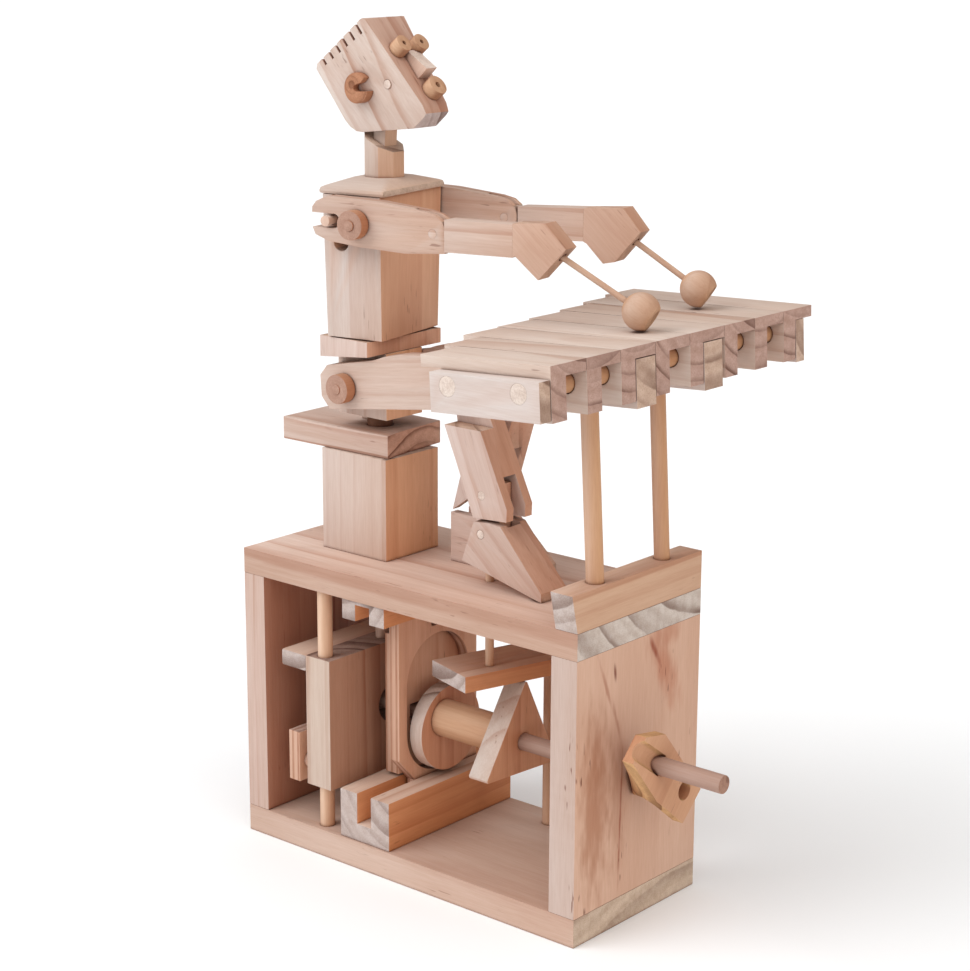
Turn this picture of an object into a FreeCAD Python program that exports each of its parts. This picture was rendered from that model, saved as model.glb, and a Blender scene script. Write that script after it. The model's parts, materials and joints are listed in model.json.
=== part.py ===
"""Wooden crank automaton: a seated figure that plays a row of wooden keys.

Millimetres. The origin is the middle of the base board's underside, +X is the crank
end, -Y the open front and +Z up. Every driving dimension is in the sheet "dims".
"""
import FreeCAD, Part
import os

import Sketcher

doc = FreeCAD.newDocument("crank_automaton")
sheet = doc.addObject("Spreadsheet::Sheet", "dims")

DIMENSIONS = (
    # the box
    ("half_length", 100.0), ("half_depth", 44.35), ("base_top", 13.2),
    ("lid_bottom", 130.3), ("lid_top", 142.4), ("left_wall", 13.0),
    ("right_wall", 14.0), ("strip_wall", 12.0), ("strip_rise", 17.4),
    ("strip_lip", 3.8), ("socket_depth", 6.0),
    # running fits
    ("running_gap", 0.08), ("side_gap", 0.3),
    # the camshaft and what turns on it
    ("shaft_height", 66.2), ("shaft_radius", 4.0), ("shaft_end_cover", 5.0),
    ("shaft_reach", 19.0), ("cam_phase", 3.45), ("cam_radius", 28.2),
    ("cam_left", 24.0), ("cam_right", 35.0), ("sleeve_radius", 8.85),
    ("disc_radius", 20.8), ("disc_left", -21.0), ("disc_right", -13.6),
    ("disc_offset_across", 5.2), ("disc_offset_down", 6.2),
    ("lift_cam_radius", 14.0), ("lift_cam_left", -74.0), ("lift_cam_right", -65.0),
    ("lift_cam_across", -2.4), ("lift_cam_down", 2.5),
    # the crank
    ("crank_gap", 0.6), ("crank_flare", 18.9), ("crank_rim", 5.5), ("crank_bore", 4.4),
    ("handle_radius", 4.05), ("handle_across", -17.0), ("handle_up", 16.3),
    ("handle_depth", 12.0), ("handle_reach", 32.0),
    # the yoke and its rails
    ("lower_rail_left", -40.0), ("lower_rail_right", -9.3), ("lower_rail_top", 36.8),
    ("lower_groove_floor", 21.7), ("groove_left", -29.3), ("groove_right", -20.7),
    ("upper_rail_left", -37.5), ("upper_rail_right", -11.5),
    ("upper_rail_bottom", 120.4), ("upper_groove_roof", 128.2),
    ("yoke_left", -27.8), ("yoke_right", -21.8), ("yoke_front", -22.0),
    ("yoke_back", 33.0), ("yoke_bottom", 22.2), ("yoke_top", 127.8),
    ("yoke_slot_radius", 22.0), ("yoke_slot_middle", 5.5), ("yoke_slot_low", 59.5),
    ("yoke_slot_high", 83.0), ("window_middle", 5.0), ("window_half", 4.3),
    ("window_low", 109.0), ("window_high", 119.0), ("backing_left", -36.0),
    ("backing_front", -16.0), ("backing_bottom", 38.5), ("backing_top", 107.0),
    # the lift block
    ("block_left", -61.5), ("block_right", -46.2), ("block_front", -43.0),
    ("block_back", 38.0), ("block_bottom", 33.4), ("block_top", 97.2),
    ("block_eye", 9.5), ("shelf_left", -77.5), ("shelf_bottom", 89.0),
    ("shelf_top", 97.0), ("keeper_left", -76.4), ("keeper_right", -69.5),
    ("stub_radius", 4.0), ("stub_across", -33.0), ("stub_height", 41.0),
    ("guide_radius", 3.5), ("guide_x", -53.8), ("front_guide_y", -37.6),
    ("rear_guide_y", 31.0), ("post_radius", 3.5), ("post_x", 24.6), ("post_y", 32.6),
    # the foot's follower
    ("plate_x", 11.4), ("plate_y", -25.0), ("plate_turn", -17.0),
    ("plate_length", 66.0), ("plate_half_width", 14.2), ("plate_bottom", 94.8),
    ("plate_top", 102.4), ("rod_radius", 2.0), ("rod_x", 22.3), ("rod_y", -9.3),
    ("rod_top", 151.15),
    # the figure's seat, hips and spindle
    ("figure_x", -53.0), ("figure_turn", 10.0), ("spindle_radius", 6.0),
    ("spindle_bore", 3.1), ("spindle_bottom", 105.0), ("spindle_grip", 16.2),
    ("lift_rod_radius", 3.0), ("arm_peg_height", 300.3),
    ("arm_peg_x", -4.0), ("peg_radius", 2.35), ("peg_slot_radius", 3.9), ("swing_height", 114.0),
    ("swing_radius", 3.0), ("swing_length", 36.6), ("pedestal_top", 190.6),
    ("seat_top", 201.5), ("spacer_top", 207.2), ("hip_top", 238.3),
    ("waist_top", 245.2), ("torso_bottom", 245.8), ("torso_top", 310.6),
    ("torso_x", 2.0), ("torso_y", 0.4), ("torso_low_x", 14.6), ("torso_low_y", 24.0),
    ("torso_high_x", 15.3), ("torso_high_y", 25.8),
    ("hip_x", -54.5), ("hip_z", 222.0), ("hip_half", 12.2), ("thigh_inner", 12.5),
    ("thigh_outer", 21.7), ("washer_radius", 6.8), ("washer_inner", 21.95),
    ("washer_outer", 27.5),
    # legs below the knee
    ("knee_x", 6.5), ("knee_z", 233.5), ("shin_inner", 3.4), ("shin_outer", 21.0),
    ("leg_slot_inner", 8.2), ("leg_slot_outer", 16.2), ("ankle_x", 26.5),
    ("ankle_z", 167.1), ("link_top_x", 26.9), ("link_top_z", 184.9),
    ("far_link_top_x", 5.2), ("far_link_top_z", 186.0), ("far_ankle_x", 2.6),
    ("far_ankle_z", 161.0),
    # shoulders, arms and mallets, about the figure's own upright axis
    ("shoulder_x", 11.3), ("shoulder_z", 299.8), ("arm_inner", 26.9),
    ("arm_outer", 35.0), ("arm_middle", 31.0), ("fork_half", 3.2),
    ("elbow_x", 50.3), ("elbow_z", 298.4), ("elbow_front", 56.9), ("elbow_gap", 0.4),
    ("tenon_half", 1.4), ("arm_washer_radius", 6.5),
    ("arm_washer_inner", 35.2), ("arm_washer_outer", 41.0),
    ("hand_inner", 27.1), ("hand_outer", 36.5), ("wrist_x", 91.0),
    ("stick_radius", 1.3), ("stick_mouth_radius", 2.1), ("stick_grip", 12.0),
    ("bead_radius", 8.2), ("bead_flat", 5.7), ("stick_exit_x", 114.5), ("stick_exit_z", 292.0),
    ("near_bead_x", 147.7), ("near_bead_y", -27.0), ("near_bead_up", 9.0),
    ("far_bead_x", 143.2), ("far_bead_y", 38.0), ("far_bead_up", 8.9),
    # neck and head
    ("collar_half_x", 17.3), ("collar_half_y", 26.2), ("collar_edge", 313.6),
    ("collar_top", 317.0), ("neck_half", 8.6), ("neck_corner", 3.7), ("neck_x", 3.05),
    ("neck_y", 0.8), ("neck_turn", 2.0), ("nod_x", 11.1), ("nod_z", 359.1),
    ("tongue_half", 4.0), ("nod_pin_radius", 2.0), ("head_tilt", 38.39),
    ("head_top_half", 13.7), ("head_chin_half", 7.8), ("head_length", 52.0),
    ("chin_x", 32.2), ("chin_z", 347.6), ("kerf", 1.1), ("kerf_depth", 3.9),
    ("ear_radius", 6.8), ("ear_x", -3.6), ("ear_z", 356.9), ("ear_inner", 10.2),
    ("ear_outer", 14.9), ("eye_radius", 4.1), ("mouth_radius", 4.8),
    # the row of keys, on a frame that leans towards the figure
    ("leg_x", 94.0), ("row_lean", 3.4), ("key_rise", 10.6), ("plank", 5.0),
    ("fin", 9.3), ("fin_height", 22.6), ("fin_left", -26.8), ("row_right", 29.8),
    ("row_gap", 0.25), ("key_twist", 1.2), ("rail_radius", 4.25), ("key_hole_gap", 0.4),
    ("rail_height", 93.0),
    ("left_rail", -17.6), ("right_rail", 19.1), ("near_leg_radius", 3.9),
    ("far_leg_radius", 3.5),
    ("near_leg_y", -25.3), ("far_leg_y", 22.3), ("front_plate", -93.5),
    ("front_plate_back", -87.0), ("back_plate_front", 85.6), ("back_plate", 91.8),
)
for row, (alias, value) in enumerate(DIMENSIONS, start=1):
    sheet.set(f"A{row}", alias)
    sheet.set(f"B{row}", str(value))
    sheet.setAlias(f"B{row}", alias)
doc.recompute()

# ---- places and directions, written as expressions -----------------------------


def place(x=0, y=0, z=0, axis=(0, 0, 1), angle=0):
    """A placement expression: a move after a turn about an axis."""
    move = f"create(<<vector>>; {x}; {y}; {z})"
    turn = f"create(<<rotation>>; create(<<vector>>; {axis[0]}; {axis[1]}; {axis[2]}); {angle})"
    return f"create(<<placement>>; {move}; {turn})"


LEFT_INNER = "(dims.left_wall - dims.half_length)"
RIGHT_INNER = "(dims.half_length - dims.right_wall)"
STRIP_TOP = "(dims.lid_top + dims.strip_rise)"
SHAFT_END = "(dims.shaft_end_cover - dims.half_length)"
SHAFT_TIP = "(dims.half_length + dims.shaft_reach)"
CRANK_INNER = "(dims.half_length + dims.crank_gap)"
CRANK_SHOULDER = f"({CRANK_INNER} + dims.crank_flare)"
CRANK_FACE = f"({CRANK_SHOULDER} + dims.crank_rim)"
HANDLE_HEIGHT = "(dims.shaft_height + dims.handle_up)"
HANDLE_ROOT = f"({CRANK_FACE} - dims.handle_depth)"
HANDLE_END = f"({CRANK_FACE} + dims.handle_reach)"
SPINDLE_TOP = "(dims.torso_bottom + dims.spindle_grip)"
KEY_TOP = "(dims.rail_height + dims.key_rise)"
WORLD = place()
FIGURE = place("dims.figure_x", angle="dims.figure_turn")
CAMS = place(z="dims.shaft_height", axis=(1, 0, 0), angle="-dims.cam_phase")
FOLLOWER = place("dims.plate_x", "dims.plate_y", angle="dims.plate_turn")
KEY_ROW = place("dims.leg_x", 0, STRIP_TOP, axis=(0, 1, 0), angle="-dims.row_lean")
AXIS_TURNS = {"X": ((0, 1, 0), 90), "Y": ((1, 0, 0), -90), "Z": ((0, 0, 1), 0)}
PLANES = {"XY": "XY_Plane", "XZ": "XZ_Plane", "YZ": "YZ_Plane"}


def put(piece, frame, x=0, y=0, z=0, axis=(0, 0, 1), angle=0):
    piece.setExpression("Placement", f"{frame} * {place(x, y, z, axis, angle)}")
    return piece


# ---- joiner's helpers --------------------------------------------------------------


def block(name, xs, ys, zs, frame=WORLD):
    """A sawn block between two faces on each axis."""
    piece = doc.addObject("Part::Box", name)
    for side, (low, high) in zip(("Length", "Width", "Height"), (xs, ys, zs)):
        piece.setExpression(side, f"({high}) - ({low})")
    return put(piece, frame, xs[0], ys[0], zs[0])


def dowel(name, along, radius, span, centre, frame=WORLD):
    """A round rod along one axis; centre gives the two other coordinates in order."""
    piece = doc.addObject("Part::Cylinder", name)
    piece.setExpression("Radius", str(radius))
    piece.setExpression("Height", f"({span[1]}) - ({span[0]})")
    spots = {"X": (span[0], *centre), "Y": (centre[0], span[0], centre[1]),
             "Z": (*centre, span[0])}
    axis, angle = AXIS_TURNS[along]
    return put(piece, frame, *spots[along], axis=axis, angle=angle)


def outline(body, name, plane, points):
    """A closed, fully constrained polygon sketch on one of the body's planes."""
    sketch = body.newObject("Sketcher::SketchObject", name)
    role = PLANES[plane]
    sheet_plane = [item for item in body.Origin.OriginFeatures if item.Role == role][0]
    sketch.AttachmentSupport = [(sheet_plane, "")]
    sketch.MapMode = "FlatFace"
    count = len(points)
    ring = [FreeCAD.Rotation(FreeCAD.Vector(0, 0, 1), 360.0 * step / count)
            .multVec(FreeCAD.Vector(10, 0, 0)) for step in range(count)]
    for step in range(count):
        sketch.addGeometry(Part.LineSegment(ring[step], ring[(step + 1) % count]), False)
    for step in range(count):
        sketch.addConstraint(Sketcher.Constraint("Coincident", step, 2, (step + 1) % count, 1))
    for step, spot in enumerate(points):
        for kind, start, text in zip(("DistanceX", "DistanceY"), ring[step], spot):
            rule = sketch.addConstraint(Sketcher.Constraint(kind, -1, 1, step, 1, start))
            sketch.setExpression(f"Constraints[{rule}]", str(text))
    return sketch


def sawn(name, plane, points, span, frame=WORLD):
    """A board sawn to a polygon outline, as thick as its span along the normal."""
    body = doc.addObject("PartDesign::Body", name)
    pad = body.newObject("PartDesign::Pad", name + "_pad")
    pad.Profile = outline(body, name + "_outline", plane, points)
    pad.setExpression("Length", f"({span[1]}) - ({span[0]})")
    pad.Midplane = True
    middle = f"(({span[0]}) + ({span[1]})) / 2"
    spots = {"XY": (0, 0, middle), "XZ": (0, middle, 0), "YZ": (middle, 0, 0)}
    return put(body, frame, *spots[plane])


def join(name, *pieces):
    piece = doc.addObject("Part::MultiFuse", name)
    piece.Shapes = list(pieces)
    piece.Refine = True
    return piece


def carve(name, base, *tools):
    piece = doc.addObject("Part::Cut", name)
    piece.Base = base
    piece.Tool = tools[0] if len(tools) == 1 else join(name + "_tools", *tools)
    piece.Refine = True
    return piece


def meet(name, first, second):
    piece = doc.addObject("Part::Common", name)
    piece.Base = first
    piece.Tool = second
    return piece


def hipped(name, low_x, low_y, high_x, high_y, zs, frame):
    """A block whose four sides slope in from a lower to an upper rectangle."""
    piece = doc.addObject("Part::Wedge", name)
    sizes = {"Xmin": low_x[0], "Xmax": low_x[1], "X2min": high_x[0], "X2max": high_x[1],
             "Ymin": 0, "Ymax": f"({zs[1]}) - ({zs[0]})",
             "Zmin": f"-({low_y[1]})", "Zmax": f"-({low_y[0]})",
             "Z2min": f"-({high_y[1]})", "Z2max": f"-({high_y[0]})"}
    for side, text in sizes.items():
        piece.setExpression(side, str(text))
    return put(piece, frame, z=zs[0], axis=(1, 0, 0), angle=90)


NODES = []


def node(label, piece):
    piece.Label = label
    NODES.append(piece)
    return piece


def mirrored(side, low, high):
    """A span across the figure: the near side is -Y, the far side +Y."""
    return (f"-({high})", f"-({low})") if side == "near" else (low, high)


SIDES = ("near", "far")

# ---- the box ------------------------------------------------------------------------

FULL_X = ("-dims.half_length", "dims.half_length")
FULL_Y = ("-dims.half_depth", "dims.half_depth")
GUIDES = (
    ("front_guide", "dims.guide_radius", "dims.guide_x", "dims.front_guide_y"),
    ("rear_guide", "dims.guide_radius", "dims.guide_x", "dims.rear_guide_y"),
    ("follower_post", "dims.post_radius", "dims.post_x", "dims.post_y"),
)
SOCKET_LOW = "dims.base_top - dims.socket_depth"
SOCKET_HIGH = "dims.lid_bottom + dims.socket_depth"


def guide_sockets(board):
    return [dowel(f"{board}_{name}_socket", "Z", radius, (SOCKET_LOW, SOCKET_HIGH), (x, y))
            for name, radius, x, y in GUIDES]


base_blank = block("base_blank", FULL_X, FULL_Y, (0, "dims.base_top"))
node("base_board", carve("base_board", base_blank, *guide_sockets("base")))

lid_blank = block("lid_blank", FULL_X, FULL_Y, ("dims.lid_bottom", "dims.lid_top"))
lid_rod_hole = dowel("lid_rod_hole", "Z", "dims.rod_radius + dims.running_gap",
                     ("dims.lid_bottom - 1", "dims.lid_top + 1"), ("dims.rod_x", "dims.rod_y"))


def spindle_hole(name, low, high):
    return dowel(name, "Z", "dims.spindle_radius + dims.running_gap",
                 (f"{low} - 1", f"{high} + 1"), ("dims.figure_x", 0))


node("top_board", carve("top_board", lid_blank, lid_rod_hole,
                        spindle_hole("lid_spindle_hole", "dims.lid_bottom", "dims.lid_top"),
                        *guide_sockets("lid")))

WALL_Z = ("dims.base_top", "dims.lid_bottom")
left_blank = block("left_blank", ("-dims.half_length", LEFT_INNER), FULL_Y, WALL_Z)
left_bearing = dowel("left_bearing", "X", "dims.shaft_radius + dims.running_gap",
                     (f"{SHAFT_END} - 0.3", f"{LEFT_INNER} + 1"), (0, "dims.shaft_height"))
node("left_end_panel", carve("left_end_panel", left_blank, left_bearing))

right_blank = block("right_blank", (RIGHT_INNER, "dims.half_length"), FULL_Y, WALL_Z)
right_bearing = dowel("right_bearing", "X", "dims.shaft_radius + dims.running_gap",
                      (f"{RIGHT_INNER} - 1", "dims.half_length + 1"), (0, "dims.shaft_height"))
node("right_end_panel", carve("right_end_panel", right_blank, right_bearing))

strip_points = (("-dims.half_depth", "dims.lid_top"), ("dims.half_depth", "dims.lid_top"),
                ("dims.half_depth", STRIP_TOP),
                ("-dims.half_depth - dims.strip_lip", STRIP_TOP))
strip_blank = sawn("strip_blank", "YZ", strip_points,
                   ("dims.half_length - dims.strip_wall", "dims.half_length"))
strip_sockets = [dowel(f"strip_{side}_socket", "Z", f"dims.{side}_leg_radius",
                       (-9, 5), (0, f"dims.{side}_leg_y"), frame=KEY_ROW) for side in SIDES]
node("leg_strip", carve("leg_strip", strip_blank, *strip_sockets))

# ---- rails, yoke and lift block -------------------------------------------------

GROOVE_X = ("dims.groove_left", "dims.groove_right")
RAIL_Y = ("dims.block_front", "dims.half_depth")
upper_blank = block("upper_rail_blank", ("dims.upper_rail_left", "dims.upper_rail_right"),
                    RAIL_Y, ("dims.upper_rail_bottom", "dims.lid_bottom"))
upper_groove = block("upper_groove", GROOVE_X, ("dims.block_front - 1", "dims.half_depth + 1"),
                     ("dims.upper_rail_bottom - 1", "dims.upper_groove_roof"))
node("upper_rail", carve("upper_rail", upper_blank, upper_groove))

lower_blank = block("lower_rail_blank", ("dims.lower_rail_left", "dims.lower_rail_right"),
                    RAIL_Y, ("dims.base_top", "dims.lower_rail_top"))
lower_groove = block("lower_groove", GROOVE_X, ("dims.block_front - 1", "dims.half_depth + 1"),
                     ("dims.lower_groove_floor", "dims.lower_rail_top + 1"))
node("lower_rail", carve("lower_rail", lower_blank, lower_groove))

YOKE_X = ("dims.yoke_left", "dims.yoke_right")
CUT_YOKE_X = ("dims.yoke_left - 1", "dims.yoke_right + 1")
yoke_points = (("dims.yoke_front + 12", "dims.yoke_bottom"), ("dims.yoke_back", "dims.yoke_bottom"),
               ("dims.yoke_back", "dims.yoke_top"), ("dims.yoke_front", "dims.yoke_top"),
               ("dims.yoke_front", "dims.yoke_bottom + 25.8"),
               ("dims.yoke_front + 12", "dims.yoke_bottom + 12.8"))
yoke_blank = sawn("yoke_blank", "YZ", yoke_points, YOKE_X)
SLOT_Y = ("dims.yoke_slot_middle - dims.yoke_slot_radius",
          "dims.yoke_slot_middle + dims.yoke_slot_radius")
yoke_slot = [block("yoke_slot_middle_part", CUT_YOKE_X, SLOT_Y,
                   ("dims.yoke_slot_low", "dims.yoke_slot_high"))]
for end in ("low", "high"):
    yoke_slot.append(dowel(f"yoke_slot_{end}_end", "X", "dims.yoke_slot_radius", CUT_YOKE_X,
                           ("dims.yoke_slot_middle", f"dims.yoke_slot_{end}")))
yoke_window = block("yoke_window", CUT_YOKE_X,
                    ("dims.window_middle - dims.window_half", "dims.window_middle + dims.window_half"),
                    ("dims.window_low", "dims.window_high"))
node("yoke_plate", carve("yoke_plate", yoke_blank, yoke_window, *yoke_slot))

backing_blank = block("backing_blank", ("dims.backing_left", "dims.yoke_left"),
                      ("dims.backing_front", "dims.yoke_back"),
                      ("dims.backing_bottom", "dims.backing_top"))
backing_slot = block("backing_slot", ("dims.backing_left - 1", "dims.yoke_left + 1"), (-8, 18.5),
                     ("dims.shaft_height - 5", "dims.shaft_height + 5"))
node("yoke_backing", carve("yoke_backing", backing_blank, backing_slot))

BLOCK_X = ("dims.block_left", "dims.block_right")
block_blank = block("block_blank", BLOCK_X, ("dims.block_front", "dims.block_back"),
                    ("dims.block_bottom", "dims.block_top"))
block_eye = dowel("block_eye", "X", "dims.block_eye",
                  ("dims.block_left - 1", "dims.block_right + 1"), (0, "dims.shaft_height"))
block_bores = [dowel(f"block_{name}_bore", "Z", "dims.guide_radius + dims.running_gap",
                     ("dims.block_bottom - 1", "dims.block_top + 1"), ("dims.guide_x", y))
               for name, y in (("front", "dims.front_guide_y"), ("rear", "dims.rear_guide_y"))]
block_stub_hole = dowel("block_stub_hole", "X", "dims.stub_radius",
                        ("dims.block_left - 1", "dims.block_left + 3"),
                        ("dims.stub_across", "dims.stub_height"))
node("lift_block", carve("lift_block", block_blank, block_eye, block_stub_hole, *block_bores))

node("lift_shelf", block("lift_shelf", ("dims.shelf_left", "dims.block_left"),
                         ("dims.block_front", "dims.block_back"),
                         ("dims.shelf_bottom", "dims.shelf_top")))

keeper_points = ((-40, 31.3), (-22, 31.3), (-22, 53.5), (-25, 56), (-40, 56))
keeper_tab = sawn("keeper_tab", "YZ", keeper_points, ("dims.keeper_left", "dims.keeper_right"))
keeper_stub = dowel("keeper_stub", "X", "dims.stub_radius",
                    ("dims.keeper_left", "dims.block_left + 3"),
                    ("dims.stub_across", "dims.stub_height"))
node("keeper_plate", join("keeper_plate", keeper_tab, keeper_stub))

node("guide_dowels", join("guide_dowels", *[dowel(name, "Z", radius, (SOCKET_LOW, SOCKET_HIGH),
                                                  (x, y)) for name, radius, x, y in GUIDES]))

# ---- the foot's follower --------------------------------------------------------------

follower_blank = block("follower_blank", ("-dims.plate_half_width", "dims.plate_half_width"),
                       (0, "dims.plate_length"), ("dims.plate_bottom", "dims.plate_top"),
                       frame=FOLLOWER)
THROUGH_PLATE = ("dims.plate_bottom - 1", "dims.plate_top + 1")
follower_bore = dowel("follower_bore", "Z", "dims.post_radius + dims.running_gap", THROUGH_PLATE,
                      ("dims.post_x", "dims.post_y"))
follower_socket = dowel("follower_socket", "Z", "dims.rod_radius", THROUGH_PLATE,
                        ("dims.rod_x", "dims.rod_y"))
node("follower_plate", carve("follower_plate", follower_blank, follower_bore, follower_socket))
node("foot_rod", dowel("foot_rod", "Z", "dims.rod_radius", ("dims.plate_bottom", "dims.rod_top"),
                       ("dims.rod_x", "dims.rod_y")))

# ---- camshaft, cams and crank -------------------------------------------------------

SHAFT_LINE = (0, "dims.shaft_height")
node("camshaft", dowel("camshaft", "X", "dims.shaft_radius", (SHAFT_END, SHAFT_TIP),
                       SHAFT_LINE))


def on_shaft(name, blank):
    hole = dowel(name + "_shaft_hole", "X", "dims.shaft_radius", (SHAFT_END, SHAFT_TIP),
                 SHAFT_LINE)
    return node(name, carve(name, blank, hole))


CAM_X = ("dims.cam_left", "dims.cam_right")
point_reach = "(dims.cam_radius + 1.2)"
cam_points = ((0, point_reach), (f"-{point_reach} * sqrt(3) / 2", f"-{point_reach} / 2"),
              (f"{point_reach} * sqrt(3) / 2", f"-{point_reach} / 2"))
cam_blank = meet("cam_blank", sawn("cam_board", "YZ", cam_points, CAM_X, frame=CAMS),
                 dowel("cam_blunting", "X", "dims.cam_radius", CAM_X, (0, 0), frame=CAMS))
on_shaft("triangle_cam", cam_blank)
on_shaft("cam_sleeve", dowel("sleeve_blank", "X", "dims.sleeve_radius",
                             ("dims.disc_right", "dims.cam_left"), SHAFT_LINE))
on_shaft("eccentric_disc", dowel("disc_blank", "X", "dims.disc_radius",
                                 ("dims.disc_left", "dims.disc_right"),
                                 ("dims.disc_offset_across",
                                  "dims.shaft_height - dims.disc_offset_down")))
on_shaft("lift_cam", dowel("lift_cam_blank", "X", "dims.lift_cam_radius",
                           ("dims.lift_cam_left", "dims.lift_cam_right"),
                           ("dims.lift_cam_across", "dims.shaft_height - dims.lift_cam_down")))

wing_corners = ((-37.8, 23.4), (-28.9, 32.6), (-15.1, 30.2), (12.3, -2.9), (-0.5, -15), (-19.9, 0.9))
boss_corners = ((-7.4, 3), (-3.6, 7.1), (3.4, 7.2), (7.8, -0.2), (3.6, -7.2), (-4.2, -6.8))
crank_points, boss_points = [[(across, f"dims.shaft_height + {up}") for across, up in corners]
                             for corners in (wing_corners, boss_corners)]
crank_body = doc.addObject("PartDesign::Body", "crank_body")
boss_outline = outline(crank_body, "boss_outline", "YZ", boss_points)
boss_outline.setExpression("AttachmentOffset.Base.z", CRANK_INNER)
wing_outline = outline(crank_body, "wing_outline", "YZ", crank_points)
wing_outline.setExpression("AttachmentOffset.Base.z", CRANK_SHOULDER)
crank_flare = crank_body.newObject("PartDesign::AdditiveLoft", "crank_flare")
crank_flare.Profile = boss_outline
crank_flare.Sections = [wing_outline]
crank_flare.Ruled = True
crank_rim = sawn("crank_rim", "YZ", crank_points, (CRANK_SHOULDER, CRANK_FACE))
crank_blank = join("crank_blank", crank_body, crank_rim)
crank_valley = dowel("crank_valley", "Y", 5.2, (-26, 0), (2, 0),
                     frame=place(CRANK_FACE, "dims.handle_across", HANDLE_HEIGHT,
                                 axis=(1, 0, 0), angle=-35.7))
crank_well = dowel("crank_well", "X", "dims.crank_bore", (SHAFT_TIP, f"{CRANK_FACE} + 1"),
                   SHAFT_LINE)
crank_socket = dowel("crank_socket", "X", "dims.handle_radius",
                     (HANDLE_ROOT, f"{CRANK_FACE} + 1"),
                     ("dims.handle_across", HANDLE_HEIGHT))
crank_shaft_hole = dowel("crank_shaft_hole", "X", "dims.shaft_radius",
                         ("dims.half_length", SHAFT_TIP), SHAFT_LINE)
node("crank_arm", carve("crank_arm", crank_blank, crank_valley, crank_well, crank_socket,
                        crank_shaft_hole))
node("crank_handle", dowel("crank_handle", "X", "dims.handle_radius",
                           (HANDLE_ROOT, HANDLE_END),
                           ("dims.handle_across", HANDLE_HEIGHT)))

# ---- pedestal, seat, hips and waist ------------------------------------------------

PEDESTAL_Z = ("dims.lid_top", "dims.pedestal_top")
pedestal_blank = block("pedestal_blank", (-73, -32.5), (-18.5, 17.5), PEDESTAL_Z)
node("pedestal", carve("pedestal", pedestal_blank, spindle_hole("pedestal_hole", *PEDESTAL_Z)))

SEAT_Z = ("dims.pedestal_top", "dims.seat_top")
seat_points = ((-99, -17.9), (-33, -16.4), (-34.6, -9), (-35.6, -1), (-36, 8), (-37.3, 24.6),
               (-99, 24.6))
seat_blank = sawn("seat_blank", "XY", seat_points, SEAT_Z)
node("seat", carve("seat", seat_blank, spindle_hole("seat_hole", *SEAT_Z)))

spacer = block("hip_spacer", (-67.8, -58.5), ("dims.hip_half - 9", "dims.hip_half"),
               ("dims.seat_top", "dims.spacer_top"))
hip_points = ((-67.8, "dims.spacer_top"), (-37.6, "dims.spacer_top"), (-37.6, "dims.hip_top"),
              (-67.8, "dims.hip_top - 3"))
hips = sawn("hips", "XZ", hip_points, ("-dims.hip_half", "dims.hip_half"))
hip_bores = [dowel(f"{side}_hip_bore", "Y", "dims.peg_radius",
                   mirrored(side, "dims.hip_half - 5", "dims.hip_half + 1"),
                   ("dims.hip_x", "dims.hip_z")) for side in SIDES]
node("hip_block", carve("hip_block", join("hip_blank", spacer, hips), *hip_bores,
                        spindle_hole("hip_hole", "dims.seat_top", "dims.hip_top")))

waist_points = ((-67.8, "dims.hip_top - 3"), (-38.3, "dims.hip_top"), (-38.3, "dims.waist_top"),
                (-67.8, "dims.waist_top"))
waist_blank = sawn("waist_blank", "XZ", waist_points, (-24, 26))
node("waist_block", carve("waist_block", waist_blank,
                          spindle_hole("waist_hole", "dims.hip_top - 4", "dims.waist_top")))

# ---- legs -------------------------------------------------------------------------------

thigh_points = ((-64.5, 210.6), (-2.5, 219.2), (12.5, 223.2), (16, 229), (15.6, 238),
                (12, 244.6), (4, 246.2), (-7.4, 243), (-21, 241.5), (-30, 239.5), (-37, 236.9), (-66, 231),
                (-70.3, 226), (-69.6, 216))
near_shin_points = ((1.2, 241.8), (10.4, 243.6), (16.2, 238), (23.2, 220.6), (41.6, 181),
                    (41.4, 175.2), (22.2, 174.1), (12, 198.6), (5.4, 213.6))
far_shin_points = ((-3.4, 239.5), (3, 244.4), (12.6, 243.6), (18.6, 238.4), (24.7, 216.6),
                   (15.1, 185.9), (-11.2, 167), (-7.3, 180.9), (3.6, 215))
near_foot_points = ((22.7, 172.4), (15.7, 153.3), (61.4, 142.45), (61.3, 146.6), (42.5, 167.6),
                    (38, 172.6), (31.4, 173.2))
far_foot_points = ((-12.5, 142.4), (36, 142.4), (36, 146.4), (14.4, 165.8), (-12.5, 165.7))


def hip_bore(side):
    return dowel(f"{side}_thigh_hip_bore", "Y", "dims.peg_radius + dims.running_gap",
                 mirrored(side, "dims.hip_half", "dims.washer_inner"), ("dims.hip_x", "dims.hip_z"))


def knee_bore(name, side):
    gap = "dims.running_gap" if name.endswith("thigh") else 0
    return dowel(f"{name}_knee_bore", "Y", f"dims.peg_radius + {gap}",
                 mirrored(side, "dims.shin_inner - 1", "dims.thigh_outer + 1"),
                 ("dims.knee_x", "dims.knee_z"))


for side in SIDES:
    thigh = sawn(f"{side}_thigh_board", "XZ", thigh_points,
                 mirrored(side, "dims.thigh_inner", "dims.thigh_outer"))
    node(f"{side}_thigh", carve(f"{side}_thigh", thigh, hip_bore(side),
                                knee_bore(f"{side}_thigh", side)))

LINK_SPAN = ("dims.leg_slot_inner", "dims.leg_slot_outer")


def lap(side):
    """The knee is a half lap: the shin's outer half is cut away beside the thigh."""
    return block(f"{side}_knee_lap", (-30, 60),
                 mirrored(side, "dims.thigh_inner - dims.side_gap", "dims.shin_outer + 1"),
                 (213.8, 260))


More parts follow.
